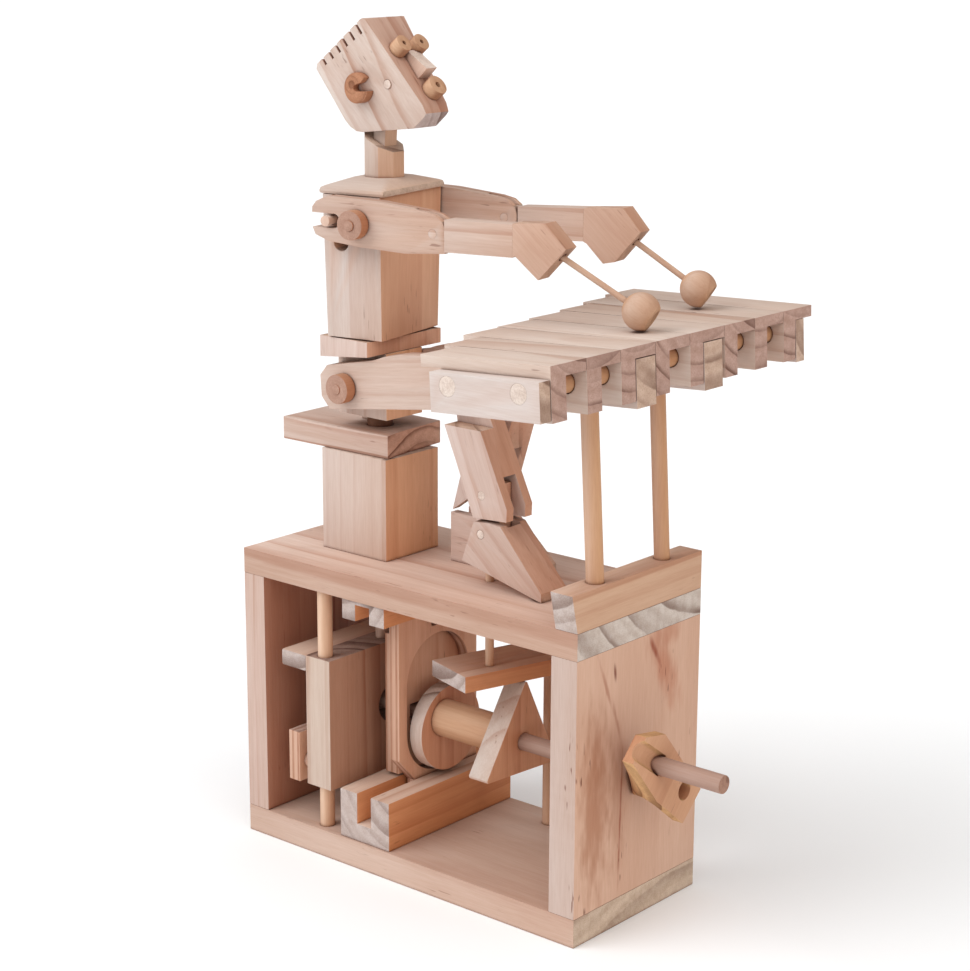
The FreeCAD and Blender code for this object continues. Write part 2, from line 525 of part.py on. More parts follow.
near_shin = sawn("near_shin_board", "XZ", near_shin_points,
                 mirrored("near", "dims.shin_inner", "dims.shin_outer"))
near_shin_slot = sawn("near_shin_slot", "XZ", ((12, 165), (46, 165), (46, 190.5), (35, 193.9), (15, 199.5)),
                      mirrored("near", *LINK_SPAN))
near_link_bore = dowel("near_link_bore", "Y", "dims.rod_radius",
                       mirrored("near", "dims.shin_inner - 1", "dims.shin_outer + 1"),
                       ("dims.link_top_x", "dims.link_top_z"))
node("near_shin", carve("near_shin", near_shin, near_shin_slot, lap("near"), near_link_bore,
                        knee_bore("near_shin", "near")))

far_shin = sawn("far_shin_board", "XZ", far_shin_points,
                mirrored("far", "dims.shin_inner", "dims.shin_outer"))
far_shin_slot = sawn("far_shin_slot", "XZ", ((-20, 160), (22, 160), (26, 199), (-16, 199)),
                     mirrored("far", *LINK_SPAN))
far_link_bore = dowel("far_link_bore", "Y", "dims.rod_radius",
                      mirrored("far", "dims.shin_inner - 1", "dims.shin_outer + 1"),
                      ("dims.far_link_top_x", "dims.far_link_top_z"))
node("far_shin", carve("far_shin", far_shin, far_shin_slot, lap("far"), far_link_bore,
                       knee_bore("far_shin", "far")))

near_foot = sawn("near_foot_board", "XZ", near_foot_points,
                 mirrored("near", "dims.shin_inner + 0.3", "dims.shin_outer"))
near_foot_slot = sawn("near_foot_slot", "XZ", ((14, 159), (36, 158), (39.5, 176), (16, 184)),
                      mirrored("near", "dims.leg_slot_inner - 0.3", "dims.leg_slot_outer + 0.3"))
near_foot_bore = dowel("near_foot_bore", "Y", "dims.rod_radius + dims.running_gap",
                       mirrored("near", "dims.shin_inner - 1", "dims.shin_outer + 1"),
                       ("dims.ankle_x", "dims.ankle_z"))
node("near_foot", carve("near_foot", near_foot, near_foot_slot, near_foot_bore))

far_foot = sawn("far_foot_board", "XZ", far_foot_points,
                mirrored("far", "dims.shin_inner + 0.3", "dims.shin_outer"))
far_foot_slot = sawn("far_foot_slot", "XZ", ((-20, 151), (16, 151), (20, 172), (-18, 172)),
                     mirrored("far", *LINK_SPAN))
far_foot_bore = dowel("far_foot_bore", "Y", "dims.rod_radius",
                      mirrored("far", "dims.shin_inner - 1", "dims.shin_outer + 1"),
                      ("dims.far_ankle_x", "dims.far_ankle_z"))
node("far_foot", carve("far_foot", far_foot, far_foot_slot, far_foot_bore))

LEG_WIDE = ("dims.shin_inner", "dims.shin_outer")
LEG_LINKS = {
    "near": (("dims.link_top_x", "dims.link_top_z"), ("dims.ankle_x", "dims.ankle_z"),
             ((20.6, 190), (19.6, 162.4), (33.4, 162), (33.6, 190))),
    "far": (("dims.far_link_top_x", "dims.far_link_top_z"), ("dims.far_ankle_x", "dims.far_ankle_z"),
            ((-0.8, 191), (-4.4, 155.6), (8.8, 155), (11.6, 191))),
}


def ankle_link(side):
    top, bottom, points = LEG_LINKS[side]
    link = sawn(f"{side}_link_board", "XZ", points, mirrored(side, *LINK_SPAN))
    holes = [dowel(f"{side}_link_{name}_hole", "Y", "dims.rod_radius",
                   mirrored(side, "dims.shin_inner", "dims.shin_outer"), spot)
             for name, spot in (("top", top), ("bottom", bottom))]
    return carve(f"{side}_link", link, *holes)


def leg_pins(side):
    top, bottom, _ = LEG_LINKS[side]
    pins = [dowel(f"{side}_{name}_pin", "Y", "dims.rod_radius", mirrored(side, *LEG_WIDE), spot)
            for name, spot in (("link", top), ("ankle", bottom))]
    knee = dowel(f"{side}_knee_pin", "Y", "dims.peg_radius",
                 mirrored(side, "dims.shin_inner", "dims.thigh_outer"),
                 ("dims.knee_x", "dims.knee_z"))
    return [*pins, knee]


node("near_ankle_link", ankle_link("near"))
node("near_leg_pins", join("near_leg_pins", *leg_pins("near")))
node("far_leg_pins", join("far_leg_pins", ankle_link("far"), *leg_pins("far")))

hip_rounds = []
for side in SIDES:
    washer = dowel(f"{side}_hip_washer", "Y", "dims.washer_radius",
                   mirrored(side, "dims.washer_inner", "dims.washer_outer"),
                   ("dims.hip_x", "dims.hip_z"))
    pin = dowel(f"{side}_hip_pin", "Y", "dims.peg_radius",
                mirrored(side, "dims.hip_half - 5", "dims.washer_outer + 0.5"),
                ("dims.hip_x", "dims.hip_z"))
    hip_rounds += [washer, pin]
node("hip_washers", join("hip_washers", *hip_rounds))

# ---- torso, spindle and lift rod -----------------------------------------------------

torso_points = (("dims.torso_y - dims.torso_low_y", "dims.torso_bottom"),
                ("dims.torso_y + dims.torso_low_y", "dims.torso_bottom"),
                ("dims.torso_y + dims.torso_high_y", "dims.torso_top"),
                ("dims.torso_y - dims.torso_high_y", "dims.torso_top"))
torso_flare = (("dims.torso_x - dims.torso_low_x", "dims.torso_bottom"),
               ("dims.torso_x + dims.torso_low_x", "dims.torso_bottom"),
               ("dims.torso_x + dims.torso_high_x", "dims.torso_top"),
               ("dims.torso_x - dims.torso_high_x", "dims.torso_top"))
torso_blank = meet("torso_blank", sawn("torso_wide", "YZ", torso_points, (-20, 24), frame=FIGURE),
                   sawn("torso_deep", "XZ", torso_flare, (-40, 40), frame=FIGURE))
torso_spindle_socket = dowel("torso_spindle_socket", "Z", "dims.spindle_radius",
                             ("dims.torso_bottom - 1", SPINDLE_TOP), (0, 0), frame=FIGURE)
torso_rod_bore = dowel("torso_rod_bore", "Z", "dims.lift_rod_radius + dims.running_gap",
                       ("dims.torso_bottom", "dims.torso_top - 3"), (0, 0), frame=FIGURE)
PEG_SLOT_Y = (-30, 30)
SLOT_LOW = "dims.arm_peg_height - 11.1"
torso_slot = [block("torso_slot_straight",
                    ("dims.arm_peg_x - dims.peg_slot_radius", "dims.arm_peg_x + dims.peg_slot_radius"),
                    PEG_SLOT_Y, (SLOT_LOW, "dims.torso_top + 1"), frame=FIGURE),
              dowel("torso_slot_end", "Y", "dims.peg_slot_radius", PEG_SLOT_Y,
                    ("dims.arm_peg_x", SLOT_LOW), frame=FIGURE)]
torso_axle_bore = dowel("torso_axle_bore", "Y", "dims.peg_radius", PEG_SLOT_Y,
                        ("dims.shoulder_x", "dims.shoulder_z"), frame=FIGURE)
node("torso", carve("torso", torso_blank, torso_spindle_socket, torso_rod_bore, torso_axle_bore,
                    *torso_slot))

COLLAR_X = ("dims.torso_x - dims.collar_half_x", "dims.torso_x + dims.collar_half_x")
COLLAR_Y = ("dims.torso_y - dims.collar_half_y", "dims.torso_y + dims.collar_half_y")
plate_base = block("shoulder_plate_base", COLLAR_X, COLLAR_Y, ("dims.torso_top", "dims.collar_edge"),
                   frame=FIGURE)
plate_slope = hipped("shoulder_plate_slope", COLLAR_X, COLLAR_Y, (-7, 12), (-11.5, 12.5),
                     ("dims.collar_edge", "dims.collar_top"), FIGURE)
node("shoulder_plate", join("shoulder_plate", plate_base, plate_slope))

NECK = place("dims.figure_x + dims.neck_x", "dims.neck_y", angle="dims.neck_turn")
post_points = (("-dims.neck_half", "-dims.neck_corner"), ("-dims.neck_corner", "-dims.neck_half"),
               ("dims.neck_corner", "-dims.neck_half"), ("dims.neck_half", "-dims.neck_corner"),
               ("dims.neck_half", "dims.neck_corner"), ("dims.neck_corner", "dims.neck_half"),
               ("-dims.neck_corner", "dims.neck_half"), ("-dims.neck_half", "dims.neck_corner"))
neck_post = sawn("neck_post", "XY", post_points, ("dims.collar_top", "dims.collar_top + 20"),
                 frame=NECK)
bevel_points = [(x, f"dims.collar_top + {up}") for x, up in ((-10, 20.4), (10, 10.8), (12, 23),
                                                             (-10, 23))]
neck_bevel = sawn("neck_bevel", "XZ", bevel_points, (-12, 12), frame=NECK)
tongue_points = ((-3, "dims.collar_top + 9"), (-2.5, "dims.collar_top + 23"),
                 ("dims.nod_x - 5.9", "dims.nod_z + 2.6"), ("dims.nod_x + 5.8", "dims.nod_z - 2.5"),
                 (4.5, "dims.collar_top + 23"), (3.5, "dims.collar_top + 9"))
tongue = sawn("neck_tongue", "XZ", tongue_points, ("-dims.tongue_half", "dims.tongue_half"),
              frame=NECK)
tongue_end = dowel("neck_tongue_end", "Y", 6.4, ("-dims.tongue_half", "dims.tongue_half"),
                   ("dims.nod_x", "dims.nod_z"), frame=NECK)
neck_pin_bore = dowel("neck_pin_bore", "Y", "dims.nod_pin_radius", (-12, 12),
                      ("dims.nod_x", "dims.nod_z"), frame=NECK)
neck_blank = join("neck_blank", carve("neck_stub", neck_post, neck_bevel), tongue, tongue_end)
node("neck", carve("neck", neck_blank, neck_pin_bore))

spindle_blank = dowel("spindle_blank", "Z", "dims.spindle_radius",
                      ("dims.spindle_bottom", SPINDLE_TOP), (0, 0), frame=FIGURE)
spindle_core = dowel("spindle_core", "Z", "dims.spindle_bore",
                     ("dims.spindle_bottom - 1", f"{SPINDLE_TOP} + 1"), (0, 0), frame=FIGURE)
swing_socket = dowel("swing_socket", "X", "dims.swing_radius", (3.8, 12), (0, "dims.swing_height"),
                     frame=FIGURE)
node("torso_spindle", carve("torso_spindle", spindle_blank, spindle_core, swing_socket))
node("swing_arm", dowel("swing_arm", "X", "dims.swing_radius", (3.8, "dims.swing_length"),
                        (0, "dims.swing_height"), frame=FIGURE))

axle_parts = [dowel("shoulder_pin", "Y", "dims.peg_radius",
                    ("-dims.arm_washer_outer - 0.8", "dims.arm_washer_outer + 0.8"),
                    ("dims.shoulder_x", "dims.shoulder_z"), frame=FIGURE)]
for side in SIDES:
    axle_parts.append(dowel(f"{side}_shoulder_washer", "Y", "dims.arm_washer_radius",
                            mirrored(side, "dims.arm_washer_inner", "dims.arm_washer_outer"),
                            ("dims.shoulder_x", "dims.shoulder_z"), frame=FIGURE))
node("shoulder_axle", join("shoulder_axle", *axle_parts))

lift_rod = dowel("lift_rod_dowel", "Z", "dims.lift_rod_radius",
                 ("dims.block_top + 0.1", "dims.arm_peg_height + dims.peg_radius"), (0, 0),
                 frame=FIGURE)
arm_peg = dowel("arm_peg", "Y", "dims.peg_radius", (-37.4, 37.4),
                ("dims.arm_peg_x", "dims.arm_peg_height"), frame=FIGURE)
node("lift_rod", join("lift_rod", lift_rod, arm_peg))

# ---- head -----------------------------------------------------------------------------------


def on_face(height):
    """A point of the flat face in the head's outline, so far above the chin."""
    return (f"dims.chin_x - {height} * sin(dims.head_tilt)",
            f"dims.chin_z + {height} * cos(dims.head_tilt)")


head_points = ((-28.4, 364), (-27.6, 367.8), (-23.6, 371.6), (-2.2, 386.7), (-0.7, 387.5),
               on_face(50.8), on_face(3.9), ("dims.chin_x - 0.9", "dims.chin_z - 0.4"),
               ("dims.chin_x - 2.4", "dims.chin_z - 2.3"), (24.1, 340.3), (-4.6, 337),
               (-8.2, 337.2), (-11.4, 339), (-14.2, 342))
CHIN = place("dims.chin_x", 0, "dims.chin_z", axis=(0, 1, 0), angle="-dims.head_tilt")
FACE = f"{NECK} * {CHIN}"
head_board = sawn("head_board", "XZ", head_points, (-16, 16), frame=NECK)
taper_points = (("-dims.head_chin_half + 1", -12), ("dims.head_chin_half - 1", -12),
                ("dims.head_chin_half", 0), ("dims.head_top_half", "dims.head_length"),
                ("-dims.head_top_half", "dims.head_length"), ("-dims.head_chin_half", 0))
head_taper = sawn("head_taper", "YZ", taper_points, (-70, 20), frame=FACE)
head_blank = meet("head_blank", head_board, head_taper)
slot_points = ((-13, 330), (-12, 346), (1, 367.2), (13.5, 367.2), (21.3, 358.6), (22.5, 352),
               (19, 330))
head_slot = sawn("head_slot", "XZ", slot_points,
                 ("-dims.tongue_half - dims.side_gap", "dims.tongue_half + dims.side_gap"),
                 frame=NECK)
head_pin_bore = dowel("head_pin_bore", "Y", "dims.nod_pin_radius + dims.running_gap", (-14, 14),
                      ("dims.nod_x", "dims.nod_z"), frame=NECK)
CROWN = place(-28.5, 0, 367.5, axis=(0, 1, 0), angle=-34.3)
HAIR = f"{NECK} * {CROWN}"
kerfs = []
for number in range(6):
    along = 4.2 + 5.1 * number
    kerf_x = (f"{along} - dims.kerf / 2", f"{along} + dims.kerf / 2")
    kerfs.append(block(f"hair_kerf_{number + 1}", kerf_x, (-15, 15),
                       ("-dims.kerf_depth - 0.4", 6), frame=HAIR))
node("head", carve("head", head_blank, head_slot, head_pin_bore, *kerfs))


def face_round(name, radius, height, across, bore, proud=6.0):
    """A short dowel glued on the face, with a small hole up its middle."""
    centre = (across, height)
    blank = dowel(name + "_blank", "X", radius, (0, proud), centre, frame=FACE)
    hole = dowel(name + "_hole", "X", bore, (proud - 3, proud + 1), centre, frame=FACE)
    return carve(name, carve(name + "_seated", blank, head_blank), hole)


EYES = (("near_eye", -4.8), ("far_eye", 7.1))
EYE_HEIGHT = 33
node("eyes", join("eyes", *[face_round(name, "dims.eye_radius", EYE_HEIGHT, across, 1.0)
                            for name, across in EYES]))
nose_points = ((0, 31.4), (0, 17.6), (7, 18.2), (2.6, 31))
nose_blank = sawn("nose_blank", "XZ", nose_points, (-1.4, 5.6), frame=FACE)
eye_cuts = [dowel(f"{name}_clearance", "X", "dims.eye_radius + 0.1", (-1, 9), (across, EYE_HEIGHT),
                  frame=FACE) for name, across in EYES]
node("nose", carve("nose", nose_blank, head_blank, *eye_cuts))
node("mouth", face_round("mouth", "dims.mouth_radius", 10.6, 2.2, 1.4, proud=5.4))

EAR_SPAN = ("dims.ear_inner", "dims.ear_outer")
WIDE_EAR_SPAN = ("dims.ear_inner - 1", "dims.ear_outer + 1")
notch_points = [(f"dims.ear_x + {across}", f"dims.ear_z + {up}")
                for across, up in ((0, -1.5), (0, 1.7), (2.7, 2.5), (7, 6.9), (10, 5),
                                  (10, -0.7), (2.7, -1.5))]
ear_rounds = []
for side in SIDES:
    span = mirrored(side, *EAR_SPAN)
    blank = dowel(f"{side}_ear_blank", "Y", "dims.ear_radius", span, ("dims.ear_x", "dims.ear_z"),
                  frame=NECK)
    wide = mirrored(side, *WIDE_EAR_SPAN)
    hole = dowel(f"{side}_ear_hole", "Y", 1.5, wide, ("dims.ear_x", "dims.ear_z"), frame=NECK)
    notch = sawn(f"{side}_ear_notch", "XZ", notch_points, wide, frame=NECK)
    ear_rounds.append(carve(f"{side}_ear", blank, hole, notch, head_blank))
node("ears", join("ears", *ear_rounds))
node("head_pin", dowel("head_pin", "Y", "dims.nod_pin_radius", (-10.6, 10.6),
                       ("dims.nod_x", "dims.nod_z"), frame=NECK))

# ---- arms and mallets ----------------------------------------------------------------------

upper_points = ((-12.9, 298.2), (-10.8, 293.7), (-3.7, 291.2), (14, 289.6), (36, 288.7),
                ("dims.elbow_front", 290.2), ("dims.elbow_front", "dims.elbow_z + 2.2"),
                ("dims.elbow_front - 1.6", "dims.elbow_z + 5.6"),
                ("dims.elbow_front - 5", "dims.elbow_z + 8.1"),
                ("dims.elbow_front - 10.9", "dims.elbow_z + 9.4"), (22.7, 310.1), (-4.8, 311),
                (-10.3, 308.6), (-12.4, 306))
ELBOW_FACE = "dims.elbow_front + dims.elbow_gap"
FOREARM_ENDS = {"near": ((291.2, 305.2), (291.6, 305.6)), "far": ((289, 303.8), (290.6, 305.4))}
HAND_CORNERS = {
    "near": (("dims.wrist_x", 306.1), (106.8, 307.3), (116.9, 297.2), (103.6, 283),
             (92.2, 292.4), ("dims.wrist_x", 291.6)),
    "far": (("dims.wrist_x", 305.4), (110.9, 306.8), (119.5, 296.8), (107, 282.6),
            (101.2, 281.4), (92.9, 289.6), ("dims.wrist_x", 290.6)),
}
MALLET_TOP = f"({STRIP_TOP} + {KEY_TOP})"


def stick_line(side):
    """The stick's frame at the hand, +X towards its bead, and how far away the bead is."""
    hand_y = "(dims.hand_inner + dims.hand_outer) / 2"
    hand_y = f"(-{hand_y})" if side == "near" else f"({hand_y})"
    run_x = f"(dims.{side}_bead_x - dims.stick_exit_x)"
    run_y = f"(dims.{side}_bead_y - {hand_y})"
    drop = f"(dims.stick_exit_z - {MALLET_TOP} - dims.{side}_bead_up)"
    level = f"sqrt({run_x} ^ 2 + {run_y} ^ 2)"
    turned = place("dims.stick_exit_x", hand_y, "dims.stick_exit_z",
                   angle=f"atan({run_y} / {run_x})")
    tipped = place(axis=(0, 1, 0), angle=f"atan({drop} / {level})")
    return f"{FIGURE} * {turned} * {tipped}", f"sqrt({level} ^ 2 + {drop} ^ 2)"


for side in SIDES:
    wide = mirrored(side, "dims.arm_inner - 1", "dims.arm_outer + 1")
    arm_board = sawn(f"{side}_upper_arm_board", "XZ", upper_points,
                     mirrored(side, "dims.arm_inner", "dims.arm_outer"), frame=FIGURE)
    fork = block(f"{side}_fork", (-20, -1), wide,
                 ("dims.arm_peg_height - dims.fork_half", "dims.arm_peg_height + dims.fork_half"),
                 frame=FIGURE)
    fork_end = dowel(f"{side}_fork_end", "Y", "dims.fork_half", wide, (-1, "dims.arm_peg_height"),
                     frame=FIGURE)
    axle_hole = dowel(f"{side}_axle_hole", "Y", "dims.peg_radius + dims.running_gap", wide,
                      ("dims.shoulder_x", "dims.shoulder_z"), frame=FIGURE)
    tenon_span = mirrored(side, "dims.arm_middle - dims.tenon_half",
                          "dims.arm_middle + dims.tenon_half")
    elbow_slot = block(f"{side}_elbow_slot", (40, f"{ELBOW_FACE} + 1"), tenon_span,
                       ("dims.elbow_z - 14", "dims.elbow_z + 14"), frame=FIGURE)
    elbow_hole = dowel(f"{side}_elbow_hole", "Y", "dims.rod_radius", wide,
                       ("dims.elbow_x", "dims.elbow_z"), frame=FIGURE)
    node(f"{side}_upper_arm", carve(f"{side}_upper_arm", arm_board, fork, fork_end, axle_hole,
                                    elbow_slot, elbow_hole))

    hand_span = mirrored(side, "dims.hand_inner", "dims.hand_outer")
    (elbow_low, elbow_high), (wrist_low, wrist_high) = FOREARM_ENDS[side]
    forearm_points = ((ELBOW_FACE, elbow_low), ("dims.wrist_x", wrist_low),
                      ("dims.wrist_x", wrist_high), (ELBOW_FACE, elbow_high))
    fore_board = sawn(f"{side}_forearm_board", "XZ", forearm_points, hand_span, frame=FIGURE)
    tenon_points = ((42.5, 293), (46, 290.8), (f"{ELBOW_FACE} + 1", 291.2),
                    (f"{ELBOW_FACE} + 1", 303.6), (46, 303.8), (42.5, 301.6))
    tenon = sawn(f"{side}_elbow_tenon", "XZ", tenon_points, tenon_span, frame=FIGURE)
    elbow_pin = dowel(f"{side}_elbow_pin", "Y", "dims.rod_radius",
                      mirrored(side, "dims.arm_inner", "dims.arm_outer"),
                      ("dims.elbow_x", "dims.elbow_z"), frame=FIGURE)
    node(f"{side}_forearm", join(f"{side}_forearm", fore_board, tenon, elbow_pin))

    stick_frame, stick_length = stick_line(side)
    hand_board = sawn(f"{side}_hand_board", "XZ", HAND_CORNERS[side], hand_span, frame=FIGURE)
    stick_hole = dowel(f"{side}_stick_hole", "X", "dims.stick_radius", ("-dims.stick_grip", 9),
                       (0, 0), frame=stick_frame)
    stick_mouth = dowel(f"{side}_stick_mouth", "X", "dims.stick_mouth_radius", (-4, 9),
                        (0, 0), frame=stick_frame)
    node(f"{side}_hand", carve(f"{side}_hand", hand_board, stick_hole, stick_mouth))
    stick = dowel(f"{side}_stick", "X", "dims.stick_radius",
                  ("-dims.stick_grip", f"{stick_length} + 3"), (0, 0), frame=stick_frame)
    ball = doc.addObject("Part::Sphere", f"{side}_ball")
    ball.setExpression("Radius", "dims.bead_radius")
    put(ball, stick_frame, x=stick_length)
    trimmed = dowel(f"{side}_ball_trim", "X", "dims.bead_radius + 1",
                    (f"{stick_length} - dims.bead_radius - 1", f"{stick_length} + dims.bead_flat"),
                    (0, 0), frame=stick_frame)
    node(f"{side}_mallet", join(f"{side}_mallet", stick, meet(f"{side}_bead", ball, trimmed)))

# ---- the row of keys --------------------------------------------------------------------------

KEY_EDGES = (-86.5, -64.0, -41.7, -18.3, 5.6, 30.8, 53.5, 75.9, 98.2)
KEY_ENDS = (-37.5, -44.5, -53.5, -54.5, -56.5, -59.5, -64.0, -68.5)
RAILS = (("left", "dims.left_rail"), ("right", "dims.right_rail"))
ROW_LEG_TOP = "dims.rail_height - 1"


def rail_holes(name, front, back, gap=0):
    return [dowel(f"{name}_{rail}_hole", "Y", f"dims.rail_radius + {gap}", (front, back),
                  (x, "dims.rail_height"), frame=KEY_ROW) for rail, x in RAILS]


keys = []
for number, (front, end) in enumerate(zip(KEY_EDGES, KEY_ENDS)):
    back = f"{KEY_EDGES[number + 1]} - dims.row_gap"
    twist = f"{number / (len(KEY_ENDS) - 1):.3f} * dims.key_twist"
    tipped = (f"{KEY_ROW} * {place('dims.right_rail', 0, KEY_TOP, axis=(0, 1, 0), angle=twist)}"
              f" * {place('-dims.right_rail', 0, '-' + KEY_TOP)}")
    plank = block(f"plank_{number + 1}", (end, "dims.row_right"), (front, back),
                  (f"{KEY_TOP} - dims.plank", KEY_TOP), frame=tipped)
    fin = block(f"fin_{number + 1}", ("dims.fin_left", "dims.row_right"),
                (front, f"{front} + dims.fin"),
                (f"{KEY_TOP} - dims.fin_height", KEY_TOP), frame=tipped)
    keys.append(carve(f"key_{number + 1}", join(f"key_blank_{number + 1}", plank, fin),
                      *rail_holes(f"key_{number + 1}", f"{front} - 1", f"{front} + dims.fin + 1",
                                  "dims.key_hole_gap")))
node("xylophone_keys", join("xylophone_keys", *keys))

PLATE_X = ("dims.fin_left", "dims.row_right - 0.2")
frame_parts = []
for name, xs, ys, zs in (
        ("front_plate", PLATE_X, ("dims.front_plate", "dims.front_plate_back"), (-11, 5.3)),
        ("back_plate", PLATE_X, ("dims.back_plate_front", "dims.back_plate"), (-13.6, 5.2)),
        ("near_leg_block", (-26, "dims.row_right"), (-31.9, -18.9), (-15.2, 5.1)),
        ("far_leg_block", (-26, "dims.row_right"), (15.4, 28.5), (-15.2, 5.1))):
    blank = block(name + "_blank", xs, ys, [f"dims.rail_height + {up}" for up in zs],
                  frame=KEY_ROW)
    tools = rail_holes(name, f"{ys[0]} - 1", f"{ys[1]} + 1")
    if name.endswith("leg_block"):
        side = name.split("_")[0]
        tools.append(dowel(f"{name}_leg_hole", "Z", f"dims.{side}_leg_radius",
                           ("dims.rail_height - 23", ROW_LEG_TOP), (0, f"dims.{side}_leg_y"),
                           frame=KEY_ROW))
    frame_parts.append(carve(name, blank, *tools))
node("xylophone_frame", join("xylophone_frame", *frame_parts))

row_dowels = [dowel(f"{rail}_rail", "Y", "dims.rail_radius", ("dims.front_plate", "dims.back_plate"),
                    (x, "dims.rail_height"), frame=KEY_ROW) for rail, x in RAILS]
row_dowels += [dowel(f"{side}_row_leg", "Z", f"dims.{side}_leg_radius", (-9, ROW_LEG_TOP),
                     (0, f"dims.{side}_leg_y"), frame=KEY_ROW) for side in SIDES]
node("xylophone_dowels", join("xylophone_dowels", *row_dowels))

# ---- check and export -------------------------------------------------------------------------

doc.recompute()
for item in doc.Objects:
    if {"Invalid", "Error"} & set(item.State):
        raise RuntimeError(f"{item.Name} did not compute: {item.State}")
os.makedirs("parts", exist_ok=True)
for piece in NODES:
    shape = piece.Shape
    if shape.isNull() or not shape.isValid() or not shape.Solids:
        raise RuntimeError(f"{piece.Label} has no valid solid")
    shape.exportStep(f"parts/{piece.Label}.step")
    print(piece.Label, len(shape.Solids), round(shape.Volume / 1000, 2))
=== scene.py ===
"""Looks of the wooden crank automaton: bare sawn pine, birch dowel and a little plywood."""
import json
import math
import random
from typing import NamedTuple

import bmesh
import bpy
from mathutils import Matrix, Vector


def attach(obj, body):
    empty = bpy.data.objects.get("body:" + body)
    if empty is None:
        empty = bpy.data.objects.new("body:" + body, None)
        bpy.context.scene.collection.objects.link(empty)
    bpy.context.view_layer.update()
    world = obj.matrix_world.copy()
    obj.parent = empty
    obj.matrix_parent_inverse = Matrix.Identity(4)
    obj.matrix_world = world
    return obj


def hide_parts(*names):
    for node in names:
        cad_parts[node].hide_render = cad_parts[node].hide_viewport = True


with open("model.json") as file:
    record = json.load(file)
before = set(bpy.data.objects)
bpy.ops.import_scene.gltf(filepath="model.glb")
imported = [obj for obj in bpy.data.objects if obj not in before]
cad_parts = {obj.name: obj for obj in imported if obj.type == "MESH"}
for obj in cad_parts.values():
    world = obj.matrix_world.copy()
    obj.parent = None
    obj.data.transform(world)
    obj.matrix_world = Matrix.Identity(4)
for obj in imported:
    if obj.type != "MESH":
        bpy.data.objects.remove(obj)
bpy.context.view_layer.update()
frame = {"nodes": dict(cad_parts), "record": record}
MM = 0.001

# ---- shader node helpers ----------------------------------------------------------------------


class Grain(NamedTuple):
    """Noise through a log, and the levels between which a mask of it rises from 0 to 1."""
    squeeze: float  # 1 gives round spots, less draws them out along the trunk
    per_metre: float
    detail: float
    roughness: float
    low: float = 0.0
    high: float = 1.0


class Bench:
    """A short way to lay out shader nodes in one tree."""

    def __init__(self, tree):
        self.tree = tree

    def node(self, kind, **settings):
        made = self.tree.nodes.new(kind)
        for name, value in settings.items():
            setattr(made, name, value)
        return made

    def link(self, start, end):
        self.tree.links.new(start, end)

    def feed(self, socket, value):
        """Links another node's output to a socket, or sets a plain value on it."""
        if isinstance(value, bpy.types.NodeSocket):
            self.link(value, socket)
        else:
            socket.default_value = value

    def math(self, operation, *values):
        made = self.node("ShaderNodeMath", operation=operation)
        for socket, value in zip(made.inputs, values):
            self.feed(socket, value)
        return made.outputs[0]

    def combine(self, x, y, z):
        made = self.node("ShaderNodeCombineXYZ")
        for socket, value in zip(made.inputs, (x, y, z)):
            self.feed(socket, value)
        return made.outputs[0]

    def split(self, vector):
        made = self.node("ShaderNodeSeparateXYZ")
        self.link(vector, made.inputs[0])
        return made.outputs

    def noise(self, vector, scale, detail, roughness=0.5):
        made = self.node("ShaderNodeTexNoise")
        self.link(vector, made.inputs["Vector"])
        for name, value in (("Scale", scale), ("Detail", detail), ("Roughness", roughness)):
            made.inputs[name].default_value = value
        return made.outputs["Fac"]

    def ramp(self, value, low, high):
        """A smooth step from 0 at low to 1 at high."""
        made = self.node("ShaderNodeMapRange", interpolation_type="SMOOTHSTEP")
        self.link(value, made.inputs["Value"])
        made.inputs["From Min"].default_value = low
        made.inputs["From Max"].default_value = high
        return made.outputs["Result"]

    def mix(self, amount, first, second, blend="MIX"):
        made = self.node("ShaderNodeMix", data_type="RGBA", blend_type=blend)
        for name, value in (("Factor", amount), ("A", first), ("B", second)):
            self.feed(made.inputs[name], value)
        return made.outputs["Result"]

    def stain(self, skin, tint, mask, strength=1.0):
        """Multiplies a colour by a tint where the mask is, as far as the strength says."""
        return self.mix(self.math("MULTIPLY", mask, strength), skin, tint, "MULTIPLY")

    def attribute(self, name, output="Fac"):
        made = self.node("ShaderNodeAttribute", attribute_name=name)
        return made.outputs[output]

    def in_log(self, grain):
        """Noise at a corner's place in its log."""
        along, across, out = self.split(self.attribute("log", "Vector"))
        place = self.combine(self.math("MULTIPLY", along, grain.squeeze), across, out)
        return self.noise(place, grain.per_metre, grain.detail, grain.roughness)

    def patches(self, grain):
        """The same noise as a mask, between its low and high levels."""
        return self.ramp(self.in_log(grain), grain.low, grain.high)

    def group(self, tree, **values):
        """Places a shared group and feeds it; its outputs are found by name."""
        made = self.node("ShaderNodeGroup", node_tree=tree)
        for name, value in values.items():
            self.feed(made.inputs[name], value)
        return made.outputs


def new_group(name, inputs, outputs):
    """An empty group of plain numbers: its tree, a bench on it, its start and its end."""
    group = bpy.data.node_groups.new(name, "ShaderNodeTree")
    for direction, labels in (("INPUT", inputs), ("OUTPUT", outputs)):
        for label in labels:
            group.interface.new_socket(label, in_out=direction, socket_type="NodeSocketFloat")
    bench = Bench(group)
    return group, bench, bench.node("NodeGroupInput").outputs, bench.node("NodeGroupOutput").inputs
